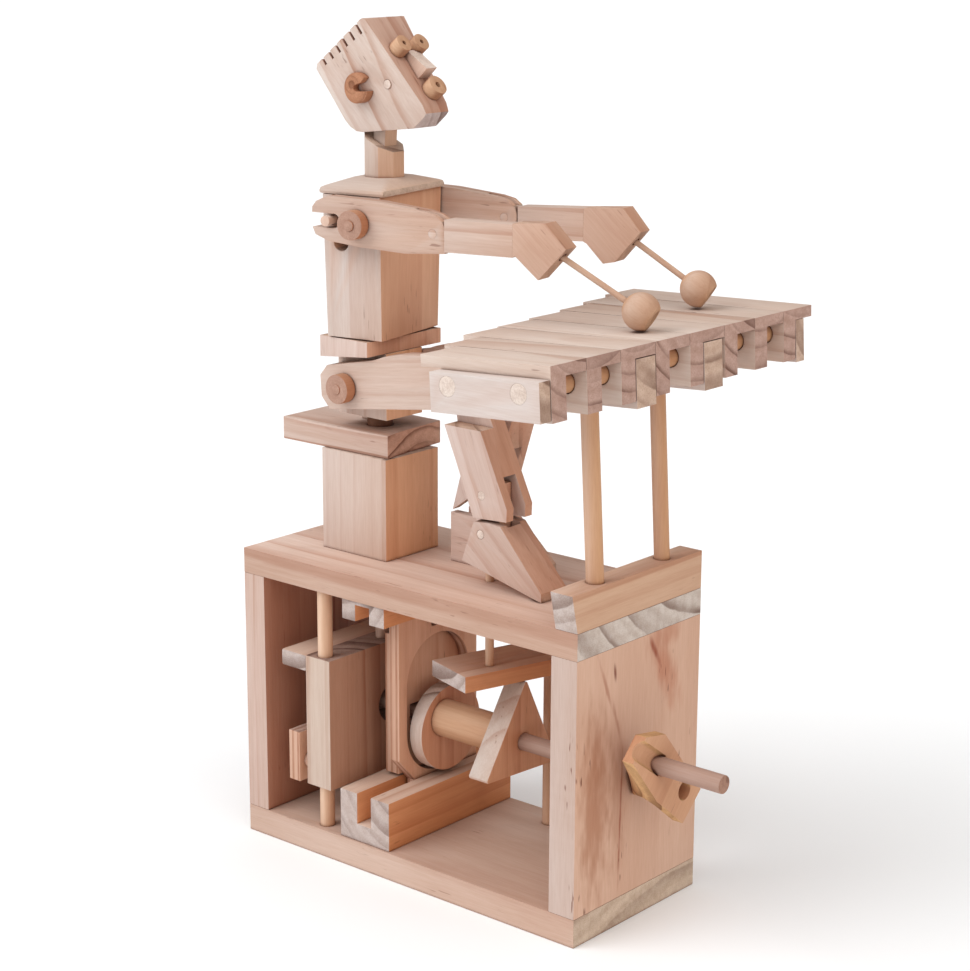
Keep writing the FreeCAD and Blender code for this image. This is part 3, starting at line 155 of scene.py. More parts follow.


# ---- the wood itself --------------------------------------------------------------------------
# Every piece carries "log", its place in the tree it was sawn from (x up the trunk, y and z
# from the pith), "end", how squarely a face shows end grain, "side_shade", the painted shade of
# a face turned from the light, "tone_and_shade", how dull its board is plus painted shade on the
# front faces of some pieces, and "ply", the cut edges of plywood.

RING_SWAY = Grain(0.22, 26.0, 1.0, 0.5)
RING_RIPPLE = Grain(0.1, 150.0, 2.0, 0.5)
RING_FADING = Grain(0.3, 30.0, 1.0, 0.5, 0.3, 0.62)
STRIPES = Grain(0.03, 420.0, 2.0, 0.55, 0.32, 0.7)
FIBRES = Grain(0.05, 1700.0, 2.0, 0.6, 0.3, 0.72)
FLECKS = Grain(0.13, 900.0, 1.0, 0.4, 0.67, 0.76)
FLECK_PLACES = Grain(0.5, 45.0, 1.0, 0.5, 0.5, 0.68)
CLOUDS = Grain(0.3, 24.0, 2.0, 0.5, 0.32, 0.68)
PORES = Grain(1.0, 1900.0, 2.0, 0.7, 0.4, 0.65)
MOTTLING = Grain(1.0, 260.0, 2.0, 0.6, 0.35, 0.7)
SAW_WOBBLE = Grain(1.0, 320.0, 1.0, 0.5)
GLUE_BREAKS = Grain(1.0, 130.0, 1.0, 0.5)
STAIN_EDGE = Grain(0.3, 260.0, 2.0, 0.5)

NOISE_MIDDLE = 0.5
RIPPLE_SHARE = 0.22  # of the rings' wander
YEAR_BEAT, YEAR_SPREAD = 1.3, 1.3  # how fast and how much the years differ in width
LATE_WOOD, WINTER = (0.25, 0.9), (0.9, 1.0)  # parts of a year over which a ring comes and goes
LATE_WOOD_CURVE = 1.6  # more than 1 keeps the dark line narrow
FAINTEST_RING, FAINTEST_PATCH = 0.3, 0.35  # beside the strongest, 1
END_GRAIN = (0.55, 0.9)  # a cut this square starts to show end grain, and shows only that
WOBBLE_WIDTH = 1.2  # mm that a saw track wanders
SAW_TRACKS = 900.0  # radians of their wave per metre from the pith
SAW_TRACK_LEVELS, GLUE_LEVELS = (-0.6, 1.0), (0.0, 0.8)  # of a wave from -1 to 1
GLUE_LEAST, GLUE_MORE = 0.5, 0.6  # a glue line's strength where it is faint, and what is added
STAIN_CORE, STAIN_RIM = 0.1, 1.0  # parts of a stain's reach that are full and that end it


def make_growth_rings():
    """Growth rings, fibres and resin flecks of a fast grown softwood log."""
    group, bench, start, end = new_group(
        "growth_rings", ("Width", "Wander", "Flecks"),
        ("Ring", "Stripe", "Fibre", "Fleck", "Cloud", "Radius"))
    _, across, out = bench.split(bench.attribute("log", "Vector"))
    radius = bench.math("SQRT", bench.math("ADD", bench.math("MULTIPLY", across, across),
                                           bench.math("MULTIPLY", out, out)))
    sway = bench.math("SUBTRACT", bench.in_log(RING_SWAY), NOISE_MIDDLE)
    ripple = bench.math("SUBTRACT", bench.in_log(RING_RIPPLE), NOISE_MIDDLE)
    bent = bench.math("MULTIPLY_ADD", sway, start["Wander"], radius)
    bent = bench.math("MULTIPLY_ADD", ripple,
                      bench.math("MULTIPLY", start["Wander"], RIPPLE_SHARE), bent)
    bench.link(bent, end["Radius"])

    years = bench.math("DIVIDE", bent, start["Width"])
    uneven = bench.noise(bench.combine(years, 0.0, 0.0), YEAR_BEAT, 0.0)
    years = bench.math("MULTIPLY_ADD", uneven, YEAR_SPREAD, years)
    season = bench.math("FRACT", years)
    rise = bench.math("POWER", bench.ramp(season, *LATE_WOOD), LATE_WOOD_CURVE)
    fall = bench.math("SUBTRACT", 1.0, bench.ramp(season, *WINTER))
    luck = bench.node("ShaderNodeTexWhiteNoise", noise_dimensions="1D")
    bench.link(bench.math("FLOOR", years), luck.inputs["W"])
    strength = bench.math("MULTIPLY_ADD", luck.outputs["Value"], 1.0 - FAINTEST_RING,
                          FAINTEST_RING)
    fading = bench.math("MULTIPLY_ADD", bench.patches(RING_FADING), 1.0 - FAINTEST_PATCH,
                        FAINTEST_PATCH)
    strength = bench.math("MULTIPLY", strength, fading)
    bench.link(bench.math("MULTIPLY", bench.math("MULTIPLY", rise, fall), strength), end["Ring"])

    bench.link(bench.patches(STRIPES), end["Stripe"])
    bench.link(bench.patches(FIBRES), end["Fibre"])
    bench.link(bench.patches(CLOUDS), end["Cloud"])
    sparse = bench.math("MULTIPLY", bench.patches(FLECK_PLACES), start["Flecks"])
    bench.link(bench.math("MULTIPLY", bench.patches(FLECKS), sparse), end["Fleck"])
    return group


def make_butt_end():
    """End grain: fuzzy pores, a mottled grey and saw tracks around the pith, as masks."""
    group, bench, start, end = new_group("butt_end", ("Radius",),
                                         ("End", "Pores", "Mottle", "Band"))
    bench.link(bench.ramp(bench.attribute("end"), *END_GRAIN), end["End"])
    bench.link(bench.patches(PORES), end["Pores"])
    bench.link(bench.patches(MOTTLING), end["Mottle"])
    track = bench.math("MULTIPLY_ADD", bench.in_log(SAW_WOBBLE), WOBBLE_WIDTH * MM,
                       start["Radius"])
    wave = bench.math("SINE", bench.math("MULTIPLY", track, SAW_TRACKS))
    bench.link(bench.ramp(wave, *SAW_TRACK_LEVELS), end["Band"])
    return group


def make_plies():
    """The glued layers that show on a plywood edge."""
    group, bench, start, end = new_group("plies", ("Layer",), ("Glue",))
    out = bench.split(bench.attribute("log", "Vector"))["Z"]
    turns = bench.math("MULTIPLY", bench.math("DIVIDE", out, start["Layer"]), math.pi)
    line = bench.ramp(bench.math("SINE", turns), *GLUE_LEVELS)
    broken = bench.math("MULTIPLY_ADD", bench.in_log(GLUE_BREAKS), GLUE_MORE, GLUE_LEAST)
    edge = bench.math("MULTIPLY", bench.attribute("ply"), broken)
    bench.link(bench.math("MULTIPLY", line, edge), end["Glue"])
    return group


def make_stain():
    """One streak or patch of resin on a board, from its middle, length, width and lean."""
    group, bench, start, end = new_group(
        "stain", ("Along", "Across", "Length", "Width", "Lean"), ("Mask",))
    along, across, _ = bench.split(bench.attribute("log", "Vector"))
    rise = bench.math("SUBTRACT", along, start["Along"])
    aside = bench.math("SUBTRACT", across, start["Across"])
    aside = bench.math("MULTIPLY_ADD", rise, start["Lean"], aside)
    far_along = bench.math("DIVIDE", rise, start["Length"])
    far_across = bench.math("DIVIDE", aside, start["Width"])
    far = bench.math("SQRT", bench.math("ADD", bench.math("MULTIPLY", far_along, far_along),
                                        bench.math("MULTIPLY", far_across, far_across)))
    place = bench.combine(bench.math("MULTIPLY", along, STAIN_EDGE.squeeze), across, 0.0)
    frayed = bench.noise(place, STAIN_EDGE.per_metre, STAIN_EDGE.detail, STAIN_EDGE.roughness)
    far = bench.math("ADD", far, bench.math("SUBTRACT", frayed, NOISE_MIDDLE))
    bench.link(bench.math("SUBTRACT", 1.0, bench.ramp(far, STAIN_CORE, STAIN_RIM)), end["Mask"])
    return group


GROWTH_RINGS, BUTT_END = make_growth_rings(), make_butt_end()
PLIES, STAIN = make_plies(), make_stain()


def colour(text):
    """A hex colour as the eye sees it, turned to linear light."""
    parts = [int(text[step:step + 2], 16) / 255 for step in (0, 2, 4)]
    return (*[part / 12.92 if part <= 0.04045 else ((part + 0.055) / 1.055) ** 2.4
              for part in parts], 1.0)


RESIN = colour("6B3B28")
# Tints that a wood's own colour is multiplied by.
# the first of these darkens a dull board and also paints shade on the front faces of some pieces
DULL_AND_SHADED, CLOUDY, LATE = colour("D9CABF"), colour("E9DAD0"), colour("D4AC96")
STRIPED, FIBROUS, GLUED = colour("EBDDD2"), colour("E2D2C6"), colour("CDAE9E")
GREY_LATE, SAWN = colour("A8968F"), colour("BBA392")
MOTTLED, PORED = colour("CDB8AA"), colour("B79F92")
# painted shade for seams, creases and gaps between parts
SEAM_SHADE = colour("7E4F38")
# How strongly those that every wood has show. The bands' share is of a wood's own strength.
CLOUD_SHARE, FIBRE_SHARE, BAND_SHARE, MOTTLE_SHARE, PORE_SHARE = 0.5, 0.25, 0.35, 0.3, 0.3
SEAM_SHADE_SHARE = 0.8
SEAM_REACH = 2.2  # mm from a seam or crease over which painted shade reaches
SEAM_LEVELS = (0.25, 0.8)  # how open a spot is where its painted shade is full and where it has none
SEAM_RAYS = 6
RELIEF_DEPTH = 0.3  # mm
RING_RELIEF, PORE_RELIEF = 0.6, 1.2  # beside the fibres, 1
END_ROUGHNESS = 0.2  # more than on the sides
SPECULAR = 0.25


def wood(name, pale, shaded_side, butt, width=10.0, wander=7.0, rings=0.7, stripes=0.3, flecks=0.5,
         bands=0.5, end_rings=1.1, layer=0.0, stains=(), bump=0.1, rough=0.66):
    """A bare wood from its pale face, its face painted in shade where turned from the light, and
    its end grain.

    Ring width, wander and plywood layer are in mm; rings, stripes, flecks, bands and
    end_rings are strengths. A stain is a row as in PANEL_STAINS."""
    material = bpy.data.materials.new(name)
    material.use_nodes = True
    material.node_tree.nodes.clear()
    bench = Bench(material.node_tree)
    growth = bench.group(GROWTH_RINGS, Width=width * MM, Wander=wander * MM, Flecks=flecks)
    face = bench.group(BUTT_END, Radius=growth["Radius"])

    # painted shade: a face turned from the light takes the shaded colour instead of the pale one
    side = bench.mix(bench.attribute("side_shade"), colour(pale), colour(shaded_side))
    # darkens a dull board, and paints shade on the front faces of some pieces
    side = bench.stain(side, DULL_AND_SHADED, bench.attribute("tone_and_shade"))
    side = bench.stain(side, CLOUDY, growth["Cloud"], CLOUD_SHARE)
    side = bench.stain(side, LATE, growth["Ring"], rings)
    side = bench.stain(side, STRIPED, growth["Stripe"], stripes)
    side = bench.stain(side, FIBROUS, growth["Fibre"], FIBRE_SHARE)
    side = bench.mix(growth["Fleck"], side, RESIN)
    for along, across, length, breadth, lean, strength, tint in stains:
        mask = bench.group(STAIN, Along=along * MM, Across=across * MM, Length=length * MM,
                           Width=breadth * MM, Lean=lean)["Mask"]
        side = bench.stain(side, colour(tint), mask, strength)

    end = bench.stain(colour(butt), GREY_LATE, growth["Ring"], end_rings)
    end = bench.stain(end, SAWN, face["Band"], bands * BAND_SHARE)
    end = bench.stain(end, MOTTLED, face["Mottle"], MOTTLE_SHARE)
    end = bench.stain(end, PORED, face["Pores"], PORE_SHARE)
    skin = bench.mix(face["End"], side, end)
    if layer:
        skin = bench.stain(skin, GLUED, bench.group(PLIES, Layer=layer * MM)["Glue"])

    # painted shade: ambient occlusion darkens seams, creases and gaps between parts
    nook = bench.node("ShaderNodeAmbientOcclusion", samples=SEAM_RAYS)
    nook.inputs["Distance"].default_value = SEAM_REACH * MM
    seam_shade = bench.math("SUBTRACT", 1.0, bench.ramp(nook.outputs["AO"], *SEAM_LEVELS))
    skin = bench.stain(skin, SEAM_SHADE, seam_shade, SEAM_SHADE_SHARE)

    shader = bench.node("ShaderNodeBsdfPrincipled")
    bench.link(skin, shader.inputs["Base Color"])
    bench.link(bench.math("MULTIPLY_ADD", face["End"], END_ROUGHNESS, rough),
               shader.inputs["Roughness"])
    shader.inputs["Specular IOR Level"].default_value = SPECULAR
    relief = bench.math("MULTIPLY_ADD", growth["Ring"], RING_RELIEF, growth["Fibre"])
    relief = bench.math("MULTIPLY_ADD", bench.math("MULTIPLY", face["Pores"], face["End"]),
                        PORE_RELIEF, relief)
    bumps = bench.node("ShaderNodeBump")
    bumps.inputs["Strength"].default_value = bump
    bumps.inputs["Distance"].default_value = RELIEF_DEPTH * MM
    bench.link(relief, bumps.inputs["Height"])
    bench.link(bumps.outputs["Normal"], shader.inputs["Normal"])
    output = bench.node("ShaderNodeOutputMaterial")
    bench.link(shader.outputs["BSDF"], output.inputs["Surface"])
    return material


PANEL_STAINS = (
    # along, across, length and width in mm, lean, strength, tint
    (47.0, -12.0, 6.5, 1.6, 0.15, 0.85, "8A4B35"),  # a knot
    (50.0, 16.5, 9.0, 2.6, 0.5, 0.8, "B5694A"),
    (40.0, 24.0, 26.0, 11.0, 0.45, 0.6, "DDA486"),  # the wide reddish patch at the top
    (56.0, 26.0, 9.0, 14.0, 0.0, 0.45, "D9A78C"),
    (42.0, -18.0, 16.0, 1.6, 0.4, 0.55, "C08C74"),
    (24.0, -10.0, 14.0, 1.6, 0.3, 0.5, "C08C74"),
    (-22.0, -6.5, 42.0, 1.0, -0.03, 0.75, "C4806A"),  # a long thin streak
    (-12.0, -25.0, 62.0, 15.0, 0.0, 0.8, "CDAE98"),  # the browner front third
    (-14.0, -9.0, 50.0, 9.0, 0.0, 0.45, "CDAE98"),
)
BOX_PINE = wood("box_pine", "CBB6AA", "E1AF8E", "D7C3AF", width=17, wander=9, stripes=0.2)
LID_PINE = wood("lid_pine", "DFCBC1", "E1AF8E", "D5CAC1", width=14, wander=8)
PANEL_PINE = wood("panel_pine", "C5B3AB", "D9B59F", "D8C8BC", width=40, wander=20, rings=0.3,
                  stripes=0.15, flecks=0.9, stains=PANEL_STAINS)
STRIP_PINE = wood("strip_pine", "D7BCAA", "D1AD92", "C9BCB6", width=9, wander=4)
SHADE_PINE = wood("dark_panel_pine", "CEB8AE", "AC7861", "CDBBAE", width=7, wander=4)
FIGURE_PINE = wood("figure_pine", "CEBFB8", "EEBD98", "D3C2B6", width=9, wander=6, rings=0.45,
                   stripes=0.2)
TORSO_PINE = wood("torso_pine", "D0C5C0", "D8A98A", "D3C2B6", width=16, wander=8, rings=0.5,
                  stripes=0.2)
SEAT_PINE = wood("seat_pine", "D7C8C0", "B67A5F", "DCB099", width=8, wander=8)
LEG_PINE = wood("leg_pine", "D5C5BF", "DFB095", "D3B9A6", width=8, wander=5, rings=0.38,
                stripes=0.25, flecks=0.25)
ARM_PINE = wood("arm_pine", "D1C0B7", "D7A88A", "CDB4A4", width=9, wander=6)
HAND_PINE = wood("hand_pine", "D3B7A7", "C79C82", "CBAA95", width=9, wander=5, rings=0.35,
                 stripes=0.15, flecks=0.3, bands=0.2, end_rings=0.5)
HEAD_PINE = wood("head_pine", "DED4CE", "C59D89", "CDBFBC", width=8, wander=6)
KEY_PINE = wood("key_pine", "DCD1C9", "CE9D81", "BF9F92", width=8, wander=5, rings=0.5,
                stripes=0.2)
FRAME_PINE = wood("key_frame_pine", "D9D3D1", "CF9F84", "D0B5A2", width=12, wander=5,
                  rings=0.12, stripes=0.1, flecks=0.1)
FACE_PEG = wood("face_peg", "D7B496", "C79F80", "B08163", width=25, wander=1, rings=0.2,
                bands=0.1, end_rings=0.3)
BLOCK_PINE = wood("block_pine", "D4BFB1", "D99769", "C6B9B4", width=9, wander=6)
# its end grain colour is darker, painted shade for the lift block's top
LIFT_PINE = wood("lift_pine", "D1C3B8", "B68B73", "A88F84", width=9, wander=5, rings=0.7,
                 bands=0.2)
YOKE_PLY = wood("yoke_plywood", "D2B09C", "DFAF92", "C7AB9E", width=12, wander=14, rings=0.3,
                layer=1.7)
BIRCH = wood("birch_dowel", "E0C2AA", "D8AE8F", "D9B48B", width=4, wander=2, rings=0.25,
             flecks=0.1, stripes=0.25, bands=0.0, end_rings=0.3, bump=0.05, rough=0.5)
LEG_BIRCH = wood("row_leg_dowel", "D7B69F", "D1A57F", "E2D4CA", width=30, wander=2, rings=0.1,
                 flecks=0.1, stripes=0.25, bands=0.0, end_rings=0.1, bump=0.05, rough=0.5)
SLEEVE_BIRCH = wood("sleeve_birch", "D0AC8E", "C3926B", "C99B74", width=5, wander=3, rings=0.3,
                    flecks=0.1, bands=0.2, bump=0.05, rough=0.55)
HANDLE_BIRCH = wood("handle_dowel", "AE9285", "A88478", "A98370", width=4, wander=2, rings=0.3,
                    flecks=0.2, bands=0.3, bump=0.06, rough=0.5)
TRIANGLE_WOOD = wood("triangle_wood", "C7BCB5", "E0A985", "D8CCC4", width=8, wander=5, rings=0.5)
CAM_WOOD = wood("cam_wood", "C7BCB5", "D29979", "D8CCC4", width=8, wander=5, rings=0.5)
CARVED = wood("carved_crank", "BC8867", "D0A281", "D7AC7C", width=9, wander=6, rings=0.4,
              stripes=0.2, flecks=0.5, bands=0.1)
TURNED = wood("turned_mallet", "CBB09E", "C39C81", "D0A98A", width=6, wander=3, flecks=0.8)
SANDED = wood("sanded_pine", "CDBFB7", "DFBBA0", "D2BAA8", width=12, wander=5, rings=0.3,
              stripes=0.15, bands=0.0)
PEG = wood("peg_dowel", "C8A187", "B8805F", "BE9A89", width=25, wander=1, rings=0.2, bands=0.2,
           end_rings=0.3)
PALE_PEG = wood("pale_peg", "DFC5B6", "CFAE9B", "E4D3C8", width=6, wander=1, rings=0.1,
                bands=0.1, end_rings=0.15)
SHADOW_PEG = wood("shaded_peg", "8A6450", "7A5542", "7A5542", width=20, rings=0.2)
EAR_WOOD = wood("ear_dowel", "C08C70", "A87659", "B98668", width=4, wander=2, rings=0.5,
                bands=0.4)

# ---- dressing the frame's pieces --------------------------------------------------------------

WELD = 0.004  # mm
# Angles between two faces that are still flat, that get an eased edge and that stay crisp.
FLAT_WITHIN, EASED_FROM, CRISP_FROM = (math.radians(angle) for angle in (0.3, 25.0, 32.0))
EASING_STEPS, EASING_FULLNESS = 2, 0.6
ONE_CURVE = 0.85  # faces are one curve where their normals' dot product is more
NEARLY_UPRIGHT = 0.9
TURNED_FROM_LIGHT = (1.0, 0.35, 0.55, 0.5)  # painted shade on faces turned to +X, to -X, to +Y and underneath
BOARD_SPREAD = (0.5, 0.02, 0.012)  # metres, along the log and across it both ways
DULLEST = 0.45  # most that one solid of a node is duller than its first
SEED_STEP = 31


def turned(degrees):
    """A level direction, turned from +X about the upright."""
    angle = math.radians(degrees)
    return Vector((math.cos(angle), math.sin(angle), 0.0))


def leaning(degrees, turn=0.0):
    """A direction in an upright plane: 0 is level, 90 straight up."""
    angle = math.radians(degrees)
    level = turned(turn) * math.cos(angle)
    return Vector((level.x, level.y, math.sin(angle)))


ALONG_X, ALONG_Y, UPRIGHT = Vector((1, 0, 0)), Vector((0, 1, 0)), Vector((0, 0, 1))


def points_of(solid):
    """The corners of all its faces, so a shared corner comes more than once."""
    return [vert.co for face in solid for vert in face.verts]


def solids_of(shell):
    """The separate solids of a mesh, each as a list of faces, in order of their middles."""
    left = set(shell.faces)
    solids = []
    while left:
        solid, queue = [], [left.pop()]
        while queue:
            face = queue.pop()
            solid.append(face)
            for edge in face.edges:
                for other in edge.link_faces:
                    if other in left:
                        left.remove(other)
                        queue.append(other)
        solids.append(solid)

    def place(solid):
        points = points_of(solid)
        mean = sum(points, Vector()) / len(points)
        return (round(mean.y, 4), round(mean.x, 4), round(mean.z, 4))
    return sorted(solids, key=place)


def corner_normal(loop):
    """The normal at a corner, smoothed over the faces that curve into this one."""
    own = loop.face.normal
    near = [face.normal for face in loop.vert.link_faces if face.normal.dot(own) > ONE_CURVE]
    return sum(near, Vector()).normalized()


def painted_side_shade_of(normal):
    """How much shade is painted on a face turned from the light: most on the crank's side, least
    in front and on top.
    """
    to_right, to_left, to_back, below = TURNED_FROM_LIGHT
    amount = (to_right * max(normal.x, 0.0) + to_left * max(-normal.x, 0.0)
              + to_back * max(normal.y, 0.0) + below * max(-normal.z, 0.0))
    return min(amount, 1.0)


def reach_of(solid):
    """The lowest and the highest corner of one solid's bounding box."""
    points = points_of(solid)
    return [Vector([choose(point[axis] for point in points) for axis in range(3)])
            for choose in (min, max)]


def longest_side(solid):
    """The direction in which one solid is longest, out of X, Y and Z."""
    low, high = reach_of(solid)
    spans = list(high - low)
    return (ALONG_X, ALONG_Y, UPRIGHT)[spans.index(max(spans))]


def mark_wood(shell, grain, pith, ply_normal, front_shade):
    """Writes what the woods read at each corner.

    The first solid of a node lies at its pith, and the others are cut elsewhere in the log."""
    log = shell.loops.layers.float_vector.new("log")
    end, side_shade, ply, tone_and_shade = (shell.loops.layers.float.new(name)
                           for name in ("end", "side_shade", "ply", "tone_and_shade"))
    for number, solid in enumerate(solids_of(shell)):
        trunk = (grain or longest_side(solid)).normalized()
        side = trunk.cross(UPRIGHT if abs(trunk.z) < NEARLY_UPRIGHT else ALONG_X).normalized()
        third = trunk.cross(side)
        centre = sum(reach_of(solid), Vector()) / 2
        chance = random.Random(number + SEED_STEP * round(abs(pith[0]) + abs(pith[1])))
        shift = Vector([chance.uniform(-spread, spread) for spread in BOARD_SPREAD])
        dulness = chance.uniform(0.0, DULLEST)
        if number == 0:
            shift, dulness = Vector(), 0.0
        for face in solid:
            for loop in face.loops:
                normal = corner_normal(loop)
                place = loop.vert.co - centre
                loop[log] = shift + Vector((place.dot(trunk), place.dot(side) + pith[0] * MM,
                                            place.dot(third) + pith[1] * MM))
                loop[end] = abs(normal.dot(trunk))
                # painted shade, by how far the face is turned from the light
                loop[side_shade] = painted_side_shade_of(normal)
                # the board's random dulness plus painted shade on front faces
                loop[tone_and_shade] = dulness + front_shade * max(-normal.y, 0.0)
                if ply_normal:
                    loop[ply] = 1.0 - abs(normal.dot(ply_normal))


def soften(shell, bevel):
    """Rounds the sharp outer corners a little."""
    sharp = [edge for edge in shell.edges
             if len(edge.link_faces) == 2 and edge.is_convex
             and edge.calc_face_angle(0.0) > EASED_FROM]
    if bevel and sharp:
        bmesh.ops.bevel(shell, geom=sharp, offset=bevel * MM, offset_type="OFFSET",
                        segments=EASING_STEPS, profile=EASING_FULLNESS, affect="EDGES",
                        clamp_overlap=True, loop_slide=True)


def finish_mesh(shell, name):
    """Turns a shell into a mesh object with smooth curves and crisp corners."""
    mesh = bpy.data.meshes.new(name)
    for face in shell.faces:
        face.smooth = True
    for edge in shell.edges:
        if len(edge.link_faces) == 2 and edge.calc_face_angle(0.0) > CRISP_FROM:
            edge.smooth = False
    shell.to_mesh(mesh)
    shell.free()
    piece = bpy.data.objects.new(name, mesh)
    bpy.context.collection.objects.link(piece)
    return piece


def node_shell(node):
    """A clean copy of a frame node's shape, with its flat faces in one piece each."""
    shell = bmesh.new()
    shell.from_mesh(frame["nodes"][node].data)
    bmesh.ops.remove_doubles(shell, verts=shell.verts, dist=WELD * MM)
    bmesh.ops.dissolve_limit(shell, angle_limit=FLAT_WITHIN, verts=shell.verts,
                             edges=shell.edges)
    return shell


BODY_OF = {node: body for body, nodes in frame["record"]["behaviour"]["bodies"].items()
           for node in nodes}


def dress(node, material, grain, pith, bevel, ply_normal=None, front_shade=0.0):
    """Replaces a frame node by its copy with eased corners in a bare wood."""
    shell = node_shell(node)
    soften(shell, bevel)
    mark_wood(shell, grain, pith, ply_normal, front_shade)
    piece = finish_mesh(shell, node + "_wood")
    piece.data.materials.append(material)
    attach(piece, BODY_OF[node])
    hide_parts(node)


FACING = 10.0  # degrees that the torso and arms are turned about the upright
LONGEST_SIDE = None  # the grain runs along each solid's own longest side
PIECES = (
    # node, wood, grain direction, pith offset in mm, corner radius in mm
    ("base_board", BOX_PINE, ALONG_X, (74, -440), 0.5),
    ("top_board", LID_PINE, ALONG_X, (60, 80), 0.6),
    ("left_end_panel", SHADE_PINE, UPRIGHT, (30, 34), 0.4),
    ("right_end_panel", PANEL_PINE, UPRIGHT, (6, 40), 0.4),
    ("leg_strip", STRIP_PINE, ALONG_Y, (14, 30), 0.5),
    ("upper_rail", BLOCK_PINE, ALONG_Y, (18, 22), 0.3),
    ("lower_rail", BLOCK_PINE, ALONG_Y, (-24, 26), 0.3),
    ("yoke_plate", YOKE_PLY, UPRIGHT, (22, 9), 0.2),
    ("yoke_backing", YOKE_PLY, UPRIGHT, (17, 21), 0.3),
    ("lift_block", LIFT_PINE, UPRIGHT, (36, 13), 0.4),
    ("lift_shelf", BLOCK_PINE, ALONG_Y, (8, 25), 1.2),
    ("keeper_plate", YOKE_PLY, UPRIGHT, (11, 8), 0.25),
    ("guide_dowels", BIRCH, UPRIGHT, (5, 3), 0.2),
    ("follower_plate", BLOCK_PINE, turned(73), (13, 27), 0.4),
    ("foot_rod", BIRCH, UPRIGHT, (4, 2), 0.15),
    ("camshaft", HANDLE_BIRCH, ALONG_X, (6, 2), 0.2),
    ("triangle_cam", TRIANGLE_WOOD, UPRIGHT, (29, 8), 0.3),
    ("cam_sleeve", SLEEVE_BIRCH, ALONG_X, (7, 4), 0.3),
    ("eccentric_disc", CAM_WOOD, UPRIGHT, (25, 9), 0.3),
    ("lift_cam", CAM_WOOD, UPRIGHT, (20, 5), 0.3),
    ("crank_arm", CARVED, leaning(50, 90), (16, 7), 0.3),
    ("crank_handle", HANDLE_BIRCH, ALONG_X, (3, 2), 0.5),
    ("pedestal", FIGURE_PINE, UPRIGHT, (24, 48), 0.45),
    ("seat", SEAT_PINE, ALONG_X, (4, -46), 0.6),
    ("hip_block", FIGURE_PINE, UPRIGHT, (16, 21), 0.4),
    ("waist_block", LEG_PINE, UPRIGHT, (21, 36), 0.6),
    ("near_thigh", ARM_PINE, leaning(8), (22, 34), 0.5),
    ("far_thigh", ARM_PINE, leaning(8), (20, 29), 0.5),
    ("near_shin", LEG_PINE, leaning(-68), (25, 30), 0.5),
    ("far_shin", LEG_PINE, leaning(-68), (22, 28), 0.5),
    ("near_foot", LEG_PINE, leaning(-40), (27, 25), 0.5),
    ("far_foot", LEG_PINE, ALONG_X, (23, 26), 0.5),
    ("near_ankle_link", LEG_PINE, UPRIGHT, (19, 6), 0.3),
    ("near_leg_pins", PALE_PEG, ALONG_Y, (2, 1), 0.2),
    ("far_leg_pins", LEG_PINE, ALONG_Y, (2, 1), 0.2),
    ("hip_washers", PEG, ALONG_Y, (1, 0.5), 0.35),
    ("torso", TORSO_PINE, UPRIGHT, (20, 59), 0.5),
    ("shoulder_plate", SANDED, turned(FACING), (17, 42), 1.6),
    ("neck", SANDED, UPRIGHT, (19, 38), 0.5),
    ("torso_spindle", SHADOW_PEG, UPRIGHT, (4, 4), 0.2),
    ("swing_arm", BIRCH, turned(FACING), (3, 2), 0.2),
    ("shoulder_axle", PEG, turned(FACING + 90), (1, 0.5), 0.35),
    ("lift_rod", PALE_PEG, UPRIGHT, (2, 1), 0.2),
    ("head", HEAD_PINE, leaning(-51.6, 2), (28, 23), 1.5),
    ("eyes", FACE_PEG, leaning(-38, 2), (0.5, 0.5), 0.3),
    ("nose", PALE_PEG, leaning(50, 2), (6, 5), 0.4),
    ("mouth", FACE_PEG, leaning(-38, 2), (0.8, 0.4), 0.3),
    ("ears", EAR_WOOD, turned(92), (2.5, 1.5), 0.35),
    ("head_pin", PALE_PEG, turned(92), (2, 1), 0.2),
    ("near_upper_arm", ARM_PINE, turned(FACING), (24, 28), 0.6),
    ("far_upper_arm", ARM_PINE, turned(FACING), (21, 31), 0.6),
    ("near_forearm", ARM_PINE, turned(FACING), (29, 47), 0.4),
    ("far_forearm", ARM_PINE, turned(FACING), (26, 43), 0.4),
    ("near_hand", HAND_PINE, leaning(-42, FACING), (22, 24), 0.5),
    ("far_hand", HAND_PINE, leaning(-42, FACING), (22, 27), 0.5),
    ("near_mallet", TURNED, leaning(-31, FACING), (3, 2), 0.0),
    ("far_mallet", TURNED, leaning(-31, FACING), (3, 2), 0.0),
    ("xylophone_keys", KEY_PINE, ALONG_X, (13, 39), 0.4),
    ("xylophone_frame", FRAME_PINE, ALONG_X, (15, 32), 0.4),
    ("xylophone_dowels", LEG_BIRCH, LONGEST_SIDE, (4, 3), 0.25),
)
PLYWOOD = ("yoke_plate", "yoke_backing", "keeper_plate")  # their plies are stacked along X
FRONT_SHADES = {"top_board": 0.8, "near_foot": 0.25}  # pieces whose front faces get painted shade
for node, material, grain, pith, bevel in PIECES:
    layers = ALONG_X if node in PLYWOOD else None
    dress(node, material, grain, pith, bevel, layers, FRONT_SHADES.get(node, 0.0))

# ---- floor, light and camera ------------------------------------------------------------------

